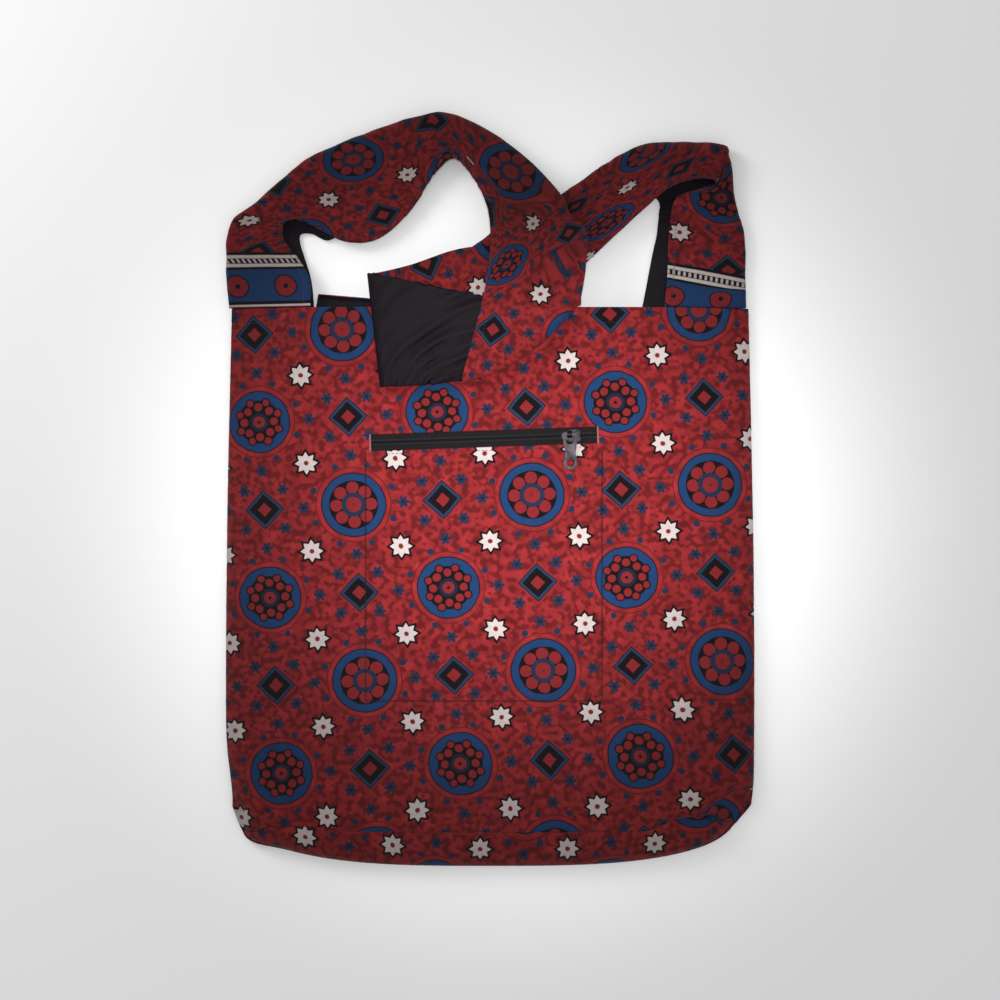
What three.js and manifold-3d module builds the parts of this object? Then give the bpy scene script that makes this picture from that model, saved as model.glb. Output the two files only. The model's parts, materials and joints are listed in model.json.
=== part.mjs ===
// A block-printed cotton shoulder bag, lying on its back.
//
// Millimetres, +Z up. X runs across the bag, +Y towards its mouth and strap, and the back
// panel lies on the plane Z = 0. The origin is under the middle of the whole outline.
//
// Pieces: a front and a back panel with a base gusset between them, a dark lining behind each
// panel, one long strap with its own dark lining, and a zip set into the front panel.

import * as THREE from "three";
import { mergeVertices } from "three/addons/utils/BufferGeometryUtils.js";
import Module from "manifold-3d";

const wasm = await Module();
wasm.setup();

// Driving dimensions

const CLOTH = 1.2; // printed cotton with its seam allowance
const LINING = 1.0;
const SEAM_GAP = 0.4; // between pieces that are sewn edge to edge

const BAG = {
  mouthY: 132, // top edge of the front panel
  mouthHalfWidth: 188.4,
  bulge: 4.4, // how much wider the bag is half way down
  bulgeY: -140,
  cornerTopY: -200, // where the rounded bottom corners begin
  cornerDepth: 74.5,
  cornerPower: 3.1, // superellipse exponent of the bottom corners
  thickness: 20.2, // top of the front panel over the floor
  rim: 4.9, // height of the side seam on the front panel
  sideRun: 45, // width of the slope along the sides
  mouthRun: 60, // the same at the mouth, where the strap spreads it
  baseRun: 34,
};

const BACK = {
  raisedY: 143, // the back panel's edge shows above the mouth at the left
  raisedFromX: -125.5,
  fall: 0.083, // how fast that raised edge falls towards the right
  lowestY: 131.6,
  curl: 2, // how far its rim turns up from the floor
  curlRun: 18,
};

const GUSSET = { seamY: -248, seamRise: 2, halfWidth: 174, tip: 1.2 };

const LINER = {
  inset: 12,
  frontHeight: 15,
  frontRim: 4.8,
  backHeight: 1.7,
  mouthDrop: 1, // its edge stays below the panel's edge
  mouthFrom: 95, // from here up it rises to meet the panel
  underPanel: 1.9,
};

const STRAP = {
  clothOut: 1.25, // offsets from the surface where cloth and lining meet
  clothIn: 0.15,
  liningOut: -0.15,
  liningIn: -1.15,
  bendFlat: 6, // width of the crease zone where the strap lies flat
};

const ZIP = {
  x: -4.3,
  y: 36.6,
  tiltDeg: 2,
  slotLength: 163.5,
  slotWidth: 12,
  tapeLength: 168,
  tapeOuter: 9,
  tapeThick: 0.8,
  tapeZ: 17.7,
  halfGap: 0.6, // the slider's post runs between the two rows
  teethOuter: 2.5,
  teethZ: 18.8,
  teethHigh: 1.2,
};

const SLIDER = {
  along: 62.9, // from the middle of the zip, closed
  topZ: 20.4,
  plate: 1.2,
  bottomZ: 16.2,
  flangeIn: 3.3,
  flangeZ: 18.9,
  postHalf: 0.35,
  crownX: -1,
  crownY: 1,
  crownLong: 3.6,
  crownBore: 1.6,
  crownWall: 1.0,
  axisAbove: 1.7, // the puller's bar over the top plate
};

const PULLER = {
  thick: 1,
  barHalf: 1,
  topHalf: 5,
  waistHalf: 3.9,
  endRadius: 5.2,
  endY: -20.6,
  eyeHalf: 2.9,
  eyeEnd: -7.2,
  holeRadius: 2.9,
  droopDeg: 5, // its far end rests on the cloth
};

const COLOURS = {
  print: { color: 0x9c2426, roughness: 0.9, metalness: 0 },
  lining: { color: 0x17151a, roughness: 0.85, metalness: 0 },
  tape: { color: 0x1a181c, roughness: 0.8, metalness: 0 },
  teeth: { color: 0x24222a, roughness: 0.5, metalness: 0 },
  slider: { color: 0x2b2630, roughness: 0.35, metalness: 0.8 },
  puller: { color: 0x77707a, roughness: 0.35, metalness: 0.9 },
};

// The strap from its left end to its right end. Hem is the edge that starts at the front of the
// bag, crease the line that the strap is folded along, and back the other edge. Fold is 1 where
// the back part is turned under the crease and 0 where the strap lies open. Steps is the number
// of sections up to the next row.
const STRAP_COLUMNS = ["at", "hem", "crease", "back", "fold", "steps"];
const STRAP_ROWS = [
  ["left base", [-129.6, 132.4, 18.9], [-186.6, 132.4, 7], [-128.5, 132.4, 1.6], 1, 1],
  ["left border", [-131, 153, 12.5], [-188.6, 153, 6.8], [-130.7, 153, 1.6], 1, 1],
  ["left rise", [-140, 169, 8.8], [-188.7, 169, 6.8], [-135.4, 169, 1.6], 1, 1],
  ["left neck", [-150, 182, 8], [-188.5, 183.5, 7], [-138.8, 180, 1.6], 1, 1],
  ["left elbow", [-149.5, 194, 8.4], [-183.5, 196.5, 7.4], [-138.6, 186, 1.6], 1, 1],
  ["left turn", [-140, 196.5, 8.8], [-170.5, 205, 8.2], [-131, 187, 1.6], 1, 1],
  ["left slope", [-124.5, 189.5, 8.6], [-149, 222, 8.8], [-118.5, 182, 1.6], 1, 1],
  ["loop foot", [-105, 180.5, 7.8], [-131.8, 236.5, 9.4], [-106, 190, 1.7], 1, 1],
  ["loop belly", [-83, 182, 7.8], [-108.5, 247, 10], [-92, 204, 1.7], 1, 2],
  ["loop shoulder", [-58, 203, 9], [-79, 257.5, 11.5], [-67, 228, 1.8], 1, 2],
  ["loop crown", [-40.5, 229.5, 11], [-52, 265.2, 13], [-47, 241, 2], 1, 1],
  ["loop peak", [-26.5, 240.5, 13], [-31, 267.6, 14], [-29.5, 243, 2.6], 1, 2],
  ["loop fall", [-13, 227, 16.5], [-4.5, 255.2, 17], [-10, 233, 5.5], 1, 2],
  ["over strap", [-2, 204, 22.5], [26.3, 231.8, 24.5], [12.5, 218, 15], 1, 1],
  ["over edge", [0.5, 182, 27.5], [48, 209, 30], [40, 204, 23], 1, 2],
  ["unfolding", [0, 171, 29], [55.5, 197, 31.2], [54.5, 196.5, 23.2], 0.5, 2],
  ["opened", [-1, 160, 29.8], [60.5, 184, 31.2], [68, 187, 30], 0, 1],
  ["flat", [-6, 134, 30.2], [63, 158, 30.2], [69, 160.5, 30.2], 0, 1],
  ["first fold in", [-20, 80.2, 30.2], [59.5, 136.8, 30.2], [65.4, 141, 30.2], 0, 2],
  ["first fold", [-18.8, 78.6, 28.2], [60.7, 135.2, 28.2], [66.6, 139.4, 28.2], 0, 2],
  ["first fold out", [-20, 80.2, 26.2], [59.5, 136.8, 26.2], [65.4, 141, 26.2], 0, 1],
  ["turned over", [-44, 75.5, 26.2], [2, 132.5, 26.2], [6, 138, 26.2], 0, 1],
  ["second fold in", [-76.2, 74, 26.2], [-84.9, 149.8, 26.2], [-85.6, 155.8, 26.2], 0, 2],
  ["second fold", [-78.2, 74, 24.2], [-86.9, 149.8, 24.2], [-87.6, 155.8, 24.2], 0, 2],
  ["second fold out", [-76.2, 74, 22.2], [-84.9, 149.8, 22.2], [-85.6, 155.8, 22.2], 0, 1],
  ["under", [-36, 92, 22.2], [-56, 156, 22.2], [-58, 162, 22.2], 0, 1],
  ["under middle", [-2, 110, 22.2], [-24, 165.5, 22.2], [-27, 172.5, 22.2], 0, 2],
  ["under turn", [16, 122, 22.4], [-8, 176, 22.4], [-7.5, 175, 14], 0.5, 2],
  ["under edge", [33, 133.5, 22.4], [9, 185.5, 22.4], [14, 174.5, 14.6], 1, 1],
  ["right strap foot", [56, 151.5, 20.8], [33, 197.5, 19.8], [40, 183, 12.4], 1, 1],
  ["right strap", [84, 178, 15], [63.8, 216.5, 14.5], [74, 197, 6.5], 1, 2],
  ["right strap head", [112, 204, 12], [94.8, 237.4, 12], [107, 213, 3.2], 1, 1],
  ["right turn", [130, 215.5, 11.8], [116.4, 246.7, 11.8], [121, 213, 2], 1, 1],
  ["right brow", [147, 218.5, 12.2], [143.3, 246.6, 12.2], [124, 208, 1.7], 1, 1],
  ["right elbow", [159.5, 218.8, 12.8], [165.5, 241.5, 12.6], [123.5, 203.5, 1.6], 1, 1],
  ["right corner", [162, 216.6, 12], [171, 231.5, 11.6], [123.3, 201, 1.6], 1, 1],
  ["right pleat", [161, 213.4, 10.6], [171.6, 218, 10.2], [123, 198, 1.6], 1, 1],
  ["right shoulder", [150, 207.6, 9], [175.3, 206.5, 8.4], [122.5, 193.5, 1.6], 1, 1],
  ["right neck", [138.5, 198, 8.2], [179.5, 194, 7.2], [121.5, 185, 1.6], 1, 1],
  ["right rise", [131.5, 177, 8.6], [182.3, 180, 6.8], [119, 174, 1.6], 1, 1],
  ["right border", [128.5, 154, 12.5], [182.6, 156, 6.8], [115, 153, 1.6], 1, 1],
  ["right base", [126, 132.4, 18.9], [183, 132.4, 7], [111, 132.4, 1.6], 1, 0],
].map((row) => Object.fromEntries(STRAP_COLUMNS.map((name, i) => [name, row[i]])));

// Small helpers

const clamp01 = (value) => Math.min(1, Math.max(0, value));
const mix = (from, to, share) => from + (to - from) * share;
const smooth = (value) => clamp01(value) ** 2 * (3 - 2 * clamp01(value));
const vector = (numbers) => new THREE.Vector3(...numbers);
const evenly = (count) => Array.from({ length: count + 1 }, (_, i) => i / Math.max(1, count));
const inOrder = (shares) => shares.sort((a, b) => a - b);
const mirrored = (half) => [...half.map((u) => -u).reverse(), ...half.filter((u) => u > 0)];

function material(finish) {
  return new THREE.MeshStandardMaterial(COLOURS[finish]);
}

function mesh(name, geometry, finish) {
  const made = new THREE.Mesh(geometry, material(finish));
  made.name = name;
  return made;
}

// Surface normals of a grid of points, from its central differences.
function gridNormals(grid) {
  const lastRow = grid.length - 1;
  const lastColumn = grid[0].length - 1;
  return grid.map((line, i) =>
    line.map((_, j) => {
      const along = grid[Math.min(i + 1, lastRow)][j].clone().sub(grid[Math.max(i - 1, 0)][j]);
      const across = line[Math.min(j + 1, lastColumn)].clone().sub(line[Math.max(j - 1, 0)]);
      return along.cross(across).normalize();
    }),
  );
}

// A cloth wall: the grid offset along its normals to two sides, closed round its rim.
function clothWall(grid, outside, inside) {
  const rows = grid.length;
  const columns = grid[0].length;
  const normals = gridNormals(grid);
  const positions = [];
  for (const offset of [outside, inside]) {
    grid.forEach((line, i) =>
      line.forEach((point, j) => {
        positions.push(...point.clone().addScaledVector(normals[i][j], offset).toArray());
      }),
    );
  }
  const outer = (i, j) => i * columns + j;
  const inner = (i, j) => rows * columns + i * columns + j;
  const faces = [];
  const quad = (a, b, c, d) => faces.push(a, b, c, a, c, d);
  for (let i = 0; i < rows - 1; i++) {
    for (let j = 0; j < columns - 1; j++) {
      quad(outer(i, j), outer(i + 1, j), outer(i + 1, j + 1), outer(i, j + 1));
      quad(inner(i, j), inner(i, j + 1), inner(i + 1, j + 1), inner(i + 1, j));
    }
    quad(outer(i, 0), inner(i, 0), inner(i + 1, 0), outer(i + 1, 0));
    const end = columns - 1;
    quad(outer(i, end), outer(i + 1, end), inner(i + 1, end), inner(i, end));
  }
  for (let j = 0; j < columns - 1; j++) {
    quad(outer(0, j), outer(0, j + 1), inner(0, j + 1), inner(0, j));
    const end = rows - 1;
    quad(outer(end, j), inner(end, j), inner(end, j + 1), outer(end, j + 1));
  }
  const geometry = new THREE.BufferGeometry();
  geometry.setAttribute("position", new THREE.Float32BufferAttribute(positions, 3));
  geometry.setIndex(faces);
  return geometry;
}

// Booleans on closed geometries

function solidOf(geometry) {
  const bare = geometry.clone();
  bare.deleteAttribute("normal");
  bare.deleteAttribute("uv");
  const merged = mergeVertices(bare, 1e-4);
  return new wasm.Manifold(
    new wasm.Mesh({
      numProp: 3,
      vertProperties: merged.attributes.position.array,
      triVerts: new Uint32Array(merged.index.array),
    }),
  );
}

function geometryOf(solid) {
  const { vertProperties, triVerts } = solid.getMesh();
  const geometry = new THREE.BufferGeometry();
  geometry.setAttribute("position", new THREE.BufferAttribute(vertProperties, 3));
  geometry.setIndex(new THREE.BufferAttribute(triVerts, 1));
  return geometry;
}

const joined = (geometries) => geometryOf(geometries.map(solidOf).reduce((all, next) => all.add(next)));

// The bag's outline and height

function halfWidth(y) {
  const reach = (BAG.mouthY - y) / (BAG.mouthY - BAG.bulgeY);
  return BAG.mouthHalfWidth + BAG.bulge * Math.sin((Math.min(Math.max(reach, 0), 1.45) * Math.PI) / 2);
}

function bottomY(x) {
  const side = Math.min(1, Math.abs(x) / halfWidth(BAG.cornerTopY));
  return BAG.cornerTopY - BAG.cornerDepth * (1 - side ** BAG.cornerPower) ** (1 / BAG.cornerPower);
}

// A slope that starts steep at 0 and levels out at 1: power 1 is straight, 2 a quarter circle.
const rise = (share, power) => (1 - (1 - clamp01(share)) ** power) ** (1 / power);

// Height of the front panel's outer face, or of a lining that is inset from it.
function pillowHeight(x, y, height, rim, inset) {
  const nearMouth = smooth((y - 20) / (BAG.mouthY - 20));
  const sideRun = mix(BAG.sideRun, BAG.mouthRun, nearMouth);
  const fromSide = halfWidth(y) - inset - Math.abs(x);
  const fromBase = y - bottomY(x) - inset;
  const acrossSide = rise(fromSide / sideRun, mix(2, 1.1, nearMouth));
  return rim + (height - rim) * acrossSide * rise(fromBase / BAG.baseRun, 2);
}

const frontHeight = (x, y) => pillowHeight(x, y, BAG.thickness, BAG.rim, 0);

// The back panel lies flat and turns up a little along its sides and base.
function backHeight(x, y) {
  const side = clamp01(1 - (halfWidth(y) - Math.abs(x)) / BACK.curlRun);
  const base = clamp01(1 - (y - bottomY(x)) / BACK.curlRun);
  return BACK.curl * Math.min(1, side ** 2 + base ** 2);
}

function backTopY(x) {
  if (x < BACK.raisedFromX - 2 || x > STRAP_ROWS.at(-1).back[0]) return BACK.lowestY;
  const raised = BACK.raisedY - BACK.fall * (x - BACK.raisedFromX);
  const start = smooth((x - BACK.raisedFromX + 2) / 2);
  return mix(BACK.lowestY, Math.max(BACK.lowestY, raised), start);
}

const seamY = (x) => GUSSET.seamY + GUSSET.seamRise * (Math.abs(x) / GUSSET.halfWidth) ** 3;

// Columns crowd towards the sides, and rows towards the base, where the walls turn down.
const SIDE_SHARES = mirrored([0, 0.17, 0.34, 0.5, 0.64, 0.75, 0.83, 0.89, 0.935, 0.968, 0.987, 1]);
const DOWN_SHARES = [0, 0.08, 0.2, 0.33, 0.46, 0.59, 0.7, 0.8, 0.88, 0.94, 0.98, 1];

// The two columns between which the back panel's edge steps up.
const RAISED_SHARES = [BACK.raisedFromX - 2, BACK.raisedFromX].map((x) => x / halfWidth(BAG.mouthY));

// A grid over part of the bag's plan, as columns between a top and a bottom edge.
function planGrid(columnsX, topEdge, bottomEdge, downShares, heightAt) {
  return downShares.map((down) =>
    columnsX.map((share) => {
      const nominal = share * halfWidth(BAG.mouthY);
      const top = topEdge(nominal);
      const y = mix(top, bottomEdge(nominal), down);
      const x = Math.sign(share) * Math.min(Math.abs(share) * halfWidth(y), halfWidth(y));
      return new THREE.Vector3(x, y, heightAt(x, y));
    }),
  );
}

// Panels

function frontPanel() {
  const bottomEdge = (x) => Math.max(seamY(x) + SEAM_GAP / 2, bottomY(x));
  const grid = planGrid(SIDE_SHARES, () => BAG.mouthY, bottomEdge, DOWN_SHARES, frontHeight);
  const slot = new THREE.BoxGeometry(ZIP.slotLength, ZIP.slotWidth, BAG.thickness);
  slot.rotateZ(THREE.MathUtils.degToRad(ZIP.tiltDeg));
  slot.translate(ZIP.x, ZIP.y, BAG.thickness);
  return geometryOf(solidOf(clothWall(grid, 0, -CLOTH)).subtract(solidOf(slot)));
}

function backPanel() {
  const grid = planGrid(inOrder([...SIDE_SHARES, ...RAISED_SHARES]), backTopY, bottomY, DOWN_SHARES, backHeight);
  return clothWall(grid, CLOTH, 0);
}

// The gusset is a crescent from the seam on the front panel to the bag's lower edge.
function baseGusset() {
  const reach = GUSSET.halfWidth / halfWidth(BAG.mouthY);
  const columns = mirrored([0, 0.18, 0.36, 0.52, 0.66, 0.78, 0.87, 0.94, 0.98, 1]).map((u) => u * reach);
  const topEdge = (x) => Math.max(seamY(x) - SEAM_GAP / 2, bottomY(x) + GUSSET.tip);
  const down = [0, 0.25, 0.5, 0.72, 0.88, 0.97, 1];
  const lower = (x, y) => Math.min(frontHeight(x, y), frontHeight(x, seamY(x)));
  return clothWall(planGrid(columns, topEdge, bottomY, down, lower), 0, -CLOTH);
}

// Linings follow the panels inside the bag, clear of the zip.
function liningGrid(topEdge, heightAt, extraShares = []) {
  const inset = 1 - LINER.inset / halfWidth(0);
  const columns = inOrder([...SIDE_SHARES.map((share) => share * inset), ...extraShares]);
  return planGrid(columns, topEdge, (x) => bottomY(x) + LINER.inset, DOWN_SHARES, heightAt);
}

function frontLining() {
  const heightAt = (x, y) => {
    const height = mix(LINER.frontHeight, BAG.thickness, smooth((y - LINER.mouthFrom) / 36));
    const own = pillowHeight(x, y, height, LINER.frontRim, LINER.inset);
    return Math.min(own, frontHeight(x, y) - LINER.underPanel);
  };
  return clothWall(liningGrid(() => BAG.mouthY - LINER.mouthDrop, heightAt), 0, -LINING);
}

function backLining() {
  const heightAt = (x, y) => backHeight(x, y) + LINER.backHeight;
  return clothWall(liningGrid((x) => backTopY(x) - LINER.mouthDrop, heightAt, RAISED_SHARES), LINING, 0);
}

// Strap

// One row across the strap: the front part, the crease, and the back part.
function strapSection(hem, crease, back, fold) {
  const out = crease.clone().sub(hem).normalize();
  const flat = back.clone().sub(crease).setLength(STRAP.bendFlat / 2);
  const under = new THREE.Vector3(0, 0, back.z - crease.z);
  const turn = flat.clone().lerp(under, fold);
  const far = crease.clone().add(turn);
  const front = [0, 0.22, 0.44, 0.64, 0.84].map((share) => hem.clone().lerp(crease, share));
  const bulge = (turn.length() / 2) * fold;
  const bend = evenly(4).map((share) => {
    const round = clamp01(mix(share, (1 - Math.cos(share * Math.PI)) / 2, fold));
    const push = Math.sin(share * Math.PI) * bulge;
    return crease.clone().lerp(far, round).addScaledVector(out, push);
  });
  const rear = [0.3, 0.65, 1].map((share) => far.clone().lerp(back, share));
  return [...front, ...bend, ...rear];
}

function strapGrid() {
  const line = (column) =>
    new THREE.CatmullRomCurve3(
      STRAP_ROWS.map((row) => vector(row[column])),
      false,
      "centripetal",
    );
  const [hem, crease, back] = ["hem", "crease", "back"].map(line);
  const spans = STRAP_ROWS.length - 1;
  const places = STRAP_ROWS.flatMap(({ steps }, row) => evenly(steps).slice(0, -1).map((share) => row + share));
  return [...places, spans].map((place) => {
    const row = Math.min(Math.floor(place), spans - 1);
    const fold = mix(STRAP_ROWS[row].fold, STRAP_ROWS[row + 1].fold, smooth(place - row));
    const [hemPoint, creasePoint, backPoint] = [hem, crease, back].map((curve) => curve.getPoint(place / spans));
    return strapSection(hemPoint, creasePoint, backPoint, fold);
  });
}

// Zip, in a frame of its own along the slot

function zipTape(side) {
  const wide = ZIP.tapeOuter - ZIP.halfGap;
  const tape = new THREE.BoxGeometry(ZIP.tapeLength, wide, ZIP.tapeThick);
  return tape.translate(0, side * (ZIP.halfGap + wide / 2), ZIP.tapeZ + ZIP.tapeThick / 2);
}

// Each row of coil is one bar along its tape.
function zipTeeth(side) {
  const wide = ZIP.teethOuter - ZIP.halfGap;
  const row = new THREE.BoxGeometry(ZIP.slotLength - 2, wide, ZIP.teethHigh);
  return row.translate(0, side * (ZIP.halfGap + wide / 2), ZIP.teethZ + ZIP.teethHigh / 2);
}

function shieldShape(scale) {
  const outline = new THREE.Shape();
  outline.moveTo(-6.4 * scale, -2.6 * scale);
  outline.lineTo(1.5 * scale, -4.7 * scale);
  outline.quadraticCurveTo(6.4 * scale, -5.2 * scale, 7.2 * scale, -2.2 * scale);
  outline.lineTo(6 * scale, 0);
  outline.lineTo(7.2 * scale, 2.2 * scale);
  outline.quadraticCurveTo(6.4 * scale, 5.2 * scale, 1.5 * scale, 4.7 * scale);
  outline.lineTo(-6.4 * scale, 2.6 * scale);
  outline.quadraticCurveTo(-7.6 * scale, 0, -6.4 * scale, -2.6 * scale);
  return outline;
}

function plate(shape, depth, z) {
  return new THREE.ExtrudeGeometry(shape, { depth, bevelEnabled: false, curveSegments: 5 }).translate(0, 0, z);
}

// The crown is an arch across the slider that the puller's bar runs through.
function sliderCrown() {
  const { crownBore, crownWall, axisAbove, crownLong } = SLIDER;
  const outer = crownBore + crownWall;
  const sunk = -0.2; // its feet reach into the plate
  const arch = new THREE.Shape();
  arch.moveTo(-outer, sunk);
  arch.lineTo(-crownBore, sunk);
  arch.lineTo(-crownBore, axisAbove);
  arch.absarc(0, axisAbove, crownBore, Math.PI, 0, true);
  arch.lineTo(crownBore, sunk);
  arch.lineTo(outer, sunk);
  arch.lineTo(outer, axisAbove);
  arch.absarc(0, axisAbove, outer, 0, Math.PI, false);
  const solid = new THREE.ExtrudeGeometry(arch, { depth: crownLong, bevelEnabled: false, curveSegments: 8 });
  const turn = new THREE.Matrix4().makeBasis(vector([0, 1, 0]), vector([0, 0, 1]), vector([1, 0, 0]));
  solid.applyMatrix4(turn);
  const top = SLIDER.topZ + SLIDER.plate;
  return solid.translate(SLIDER.crownX - crownLong / 2, SLIDER.crownY, top);
}

function zipSlider() {
  const { topZ, plate: thick, bottomZ, flangeIn, flangeZ, postHalf } = SLIDER;
  const flanges = [-1, 1].map((side) => {
    const flange = new THREE.BoxGeometry(7.6, 0.9, topZ - flangeZ + 0.2);
    return flange.translate(2.2, side * (flangeIn + 0.45), (topZ + flangeZ + 0.2) / 2);
  });
  const post = new THREE.BoxGeometry(2.4, 2 * postHalf, topZ - bottomZ);
  post.translate(4.4, 0, (topZ + bottomZ) / 2 + 0.5);
  return joined([
    plate(shieldShape(1), thick, topZ),
    plate(shieldShape(0.94), 1.1, bottomZ),
    ...flanges,
    post,
    sliderCrown(),
  ]);
}

// The puller is drawn with its bar on the origin and its plate towards -Y.
function zipPuller() {
  const { thick, barHalf, topHalf, waistHalf, endRadius, endY, eyeHalf, eyeEnd, holeRadius } = PULLER;
  const outline = new THREE.Shape();
  outline.moveTo(-topHalf, barHalf - 1.4);
  outline.lineTo(-topHalf, eyeEnd);
  outline.quadraticCurveTo(-waistHalf, eyeEnd - 3, -waistHalf, eyeEnd - 5);
  outline.quadraticCurveTo(-waistHalf, endY + 5, -endRadius, endY);
  outline.absarc(0, endY, endRadius, Math.PI, 0, false);
  outline.quadraticCurveTo(waistHalf, endY + 5, waistHalf, eyeEnd - 5);
  outline.quadraticCurveTo(waistHalf, eyeEnd - 3, topHalf, eyeEnd);
  outline.lineTo(topHalf, barHalf - 1.4);
  outline.quadraticCurveTo(topHalf, barHalf, topHalf - 1.4, barHalf);
  outline.lineTo(-topHalf + 1.4, barHalf);
  outline.quadraticCurveTo(-topHalf, barHalf, -topHalf, barHalf - 1.4);
  const eye = new THREE.Path();
  eye.moveTo(-eyeHalf, -barHalf);
  eye.lineTo(eyeHalf, -barHalf);
  eye.lineTo(eyeHalf, eyeEnd + eyeHalf);
  eye.absarc(0, eyeEnd + eyeHalf, eyeHalf, 0, -Math.PI, true);
  eye.lineTo(-eyeHalf, -barHalf);
  const hole = new THREE.Path();
  hole.absarc(0, endY, holeRadius, 0, 2 * Math.PI, true);
  outline.holes.push(eye, hole);
  const solid = new THREE.ExtrudeGeometry(outline, { depth: thick, bevelEnabled: false, curveSegments: 8 });
  return solid.translate(0, 0, -thick / 2);
}

function zip() {
  const group = new THREE.Group();
  group.position.set(ZIP.x, ZIP.y, 0);
  group.rotation.z = THREE.MathUtils.degToRad(ZIP.tiltDeg);
  for (const [name, side] of [
    ["upper", 1],
    ["lower", -1],
  ]) {
    group.add(mesh(`zip_tape_${name}`, zipTape(side), "tape"));
    group.add(mesh(`zip_teeth_${name}`, zipTeeth(side), "teeth"));
  }
  const slider = mesh("zip_slider", zipSlider(), "slider");
  const puller = mesh("zip_puller", zipPuller(), "puller");
  puller.position.set(SLIDER.crownX, SLIDER.crownY, SLIDER.topZ + SLIDER.plate + SLIDER.axisAbove);
  puller.rotation.x = THREE.MathUtils.degToRad(PULLER.droopDeg);
  const carriage = new THREE.Group();
  carriage.position.x = SLIDER.along;
  carriage.add(slider, puller);
  group.add(carriage);
  return group;
}

// Assembly

const strapSurface = strapGrid();
const bag = new THREE.Group();
bag.add(
  mesh("front_panel", frontPanel(), "print"),
  mesh("back_panel", backPanel(), "print"),
  mesh("base_gusset", baseGusset(), "print"),
  mesh("lining_front", frontLining(), "lining"),
  mesh("lining_back", backLining(), "lining"),
  mesh("strap", clothWall(strapSurface, STRAP.clothOut, STRAP.clothIn), "print"),
  mesh("strap_lining", clothWall(strapSurface, STRAP.liningOut, STRAP.liningIn), "lining"),
  zip(),
);

export default bag;
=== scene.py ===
"""A block-printed cotton shoulder bag lying on its back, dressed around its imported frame.

Lengths are in millimetres until a mesh is made. X runs across the bag, Y towards its mouth and
strap, Z up. Every cloth piece carries the attribute "cut": where each of its points lay on the
flat cloth. The strap also carries "border": its place across the strap and from the nearer end.
"""

import json
import math
from collections import namedtuple
from types import SimpleNamespace as Sizes

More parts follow.
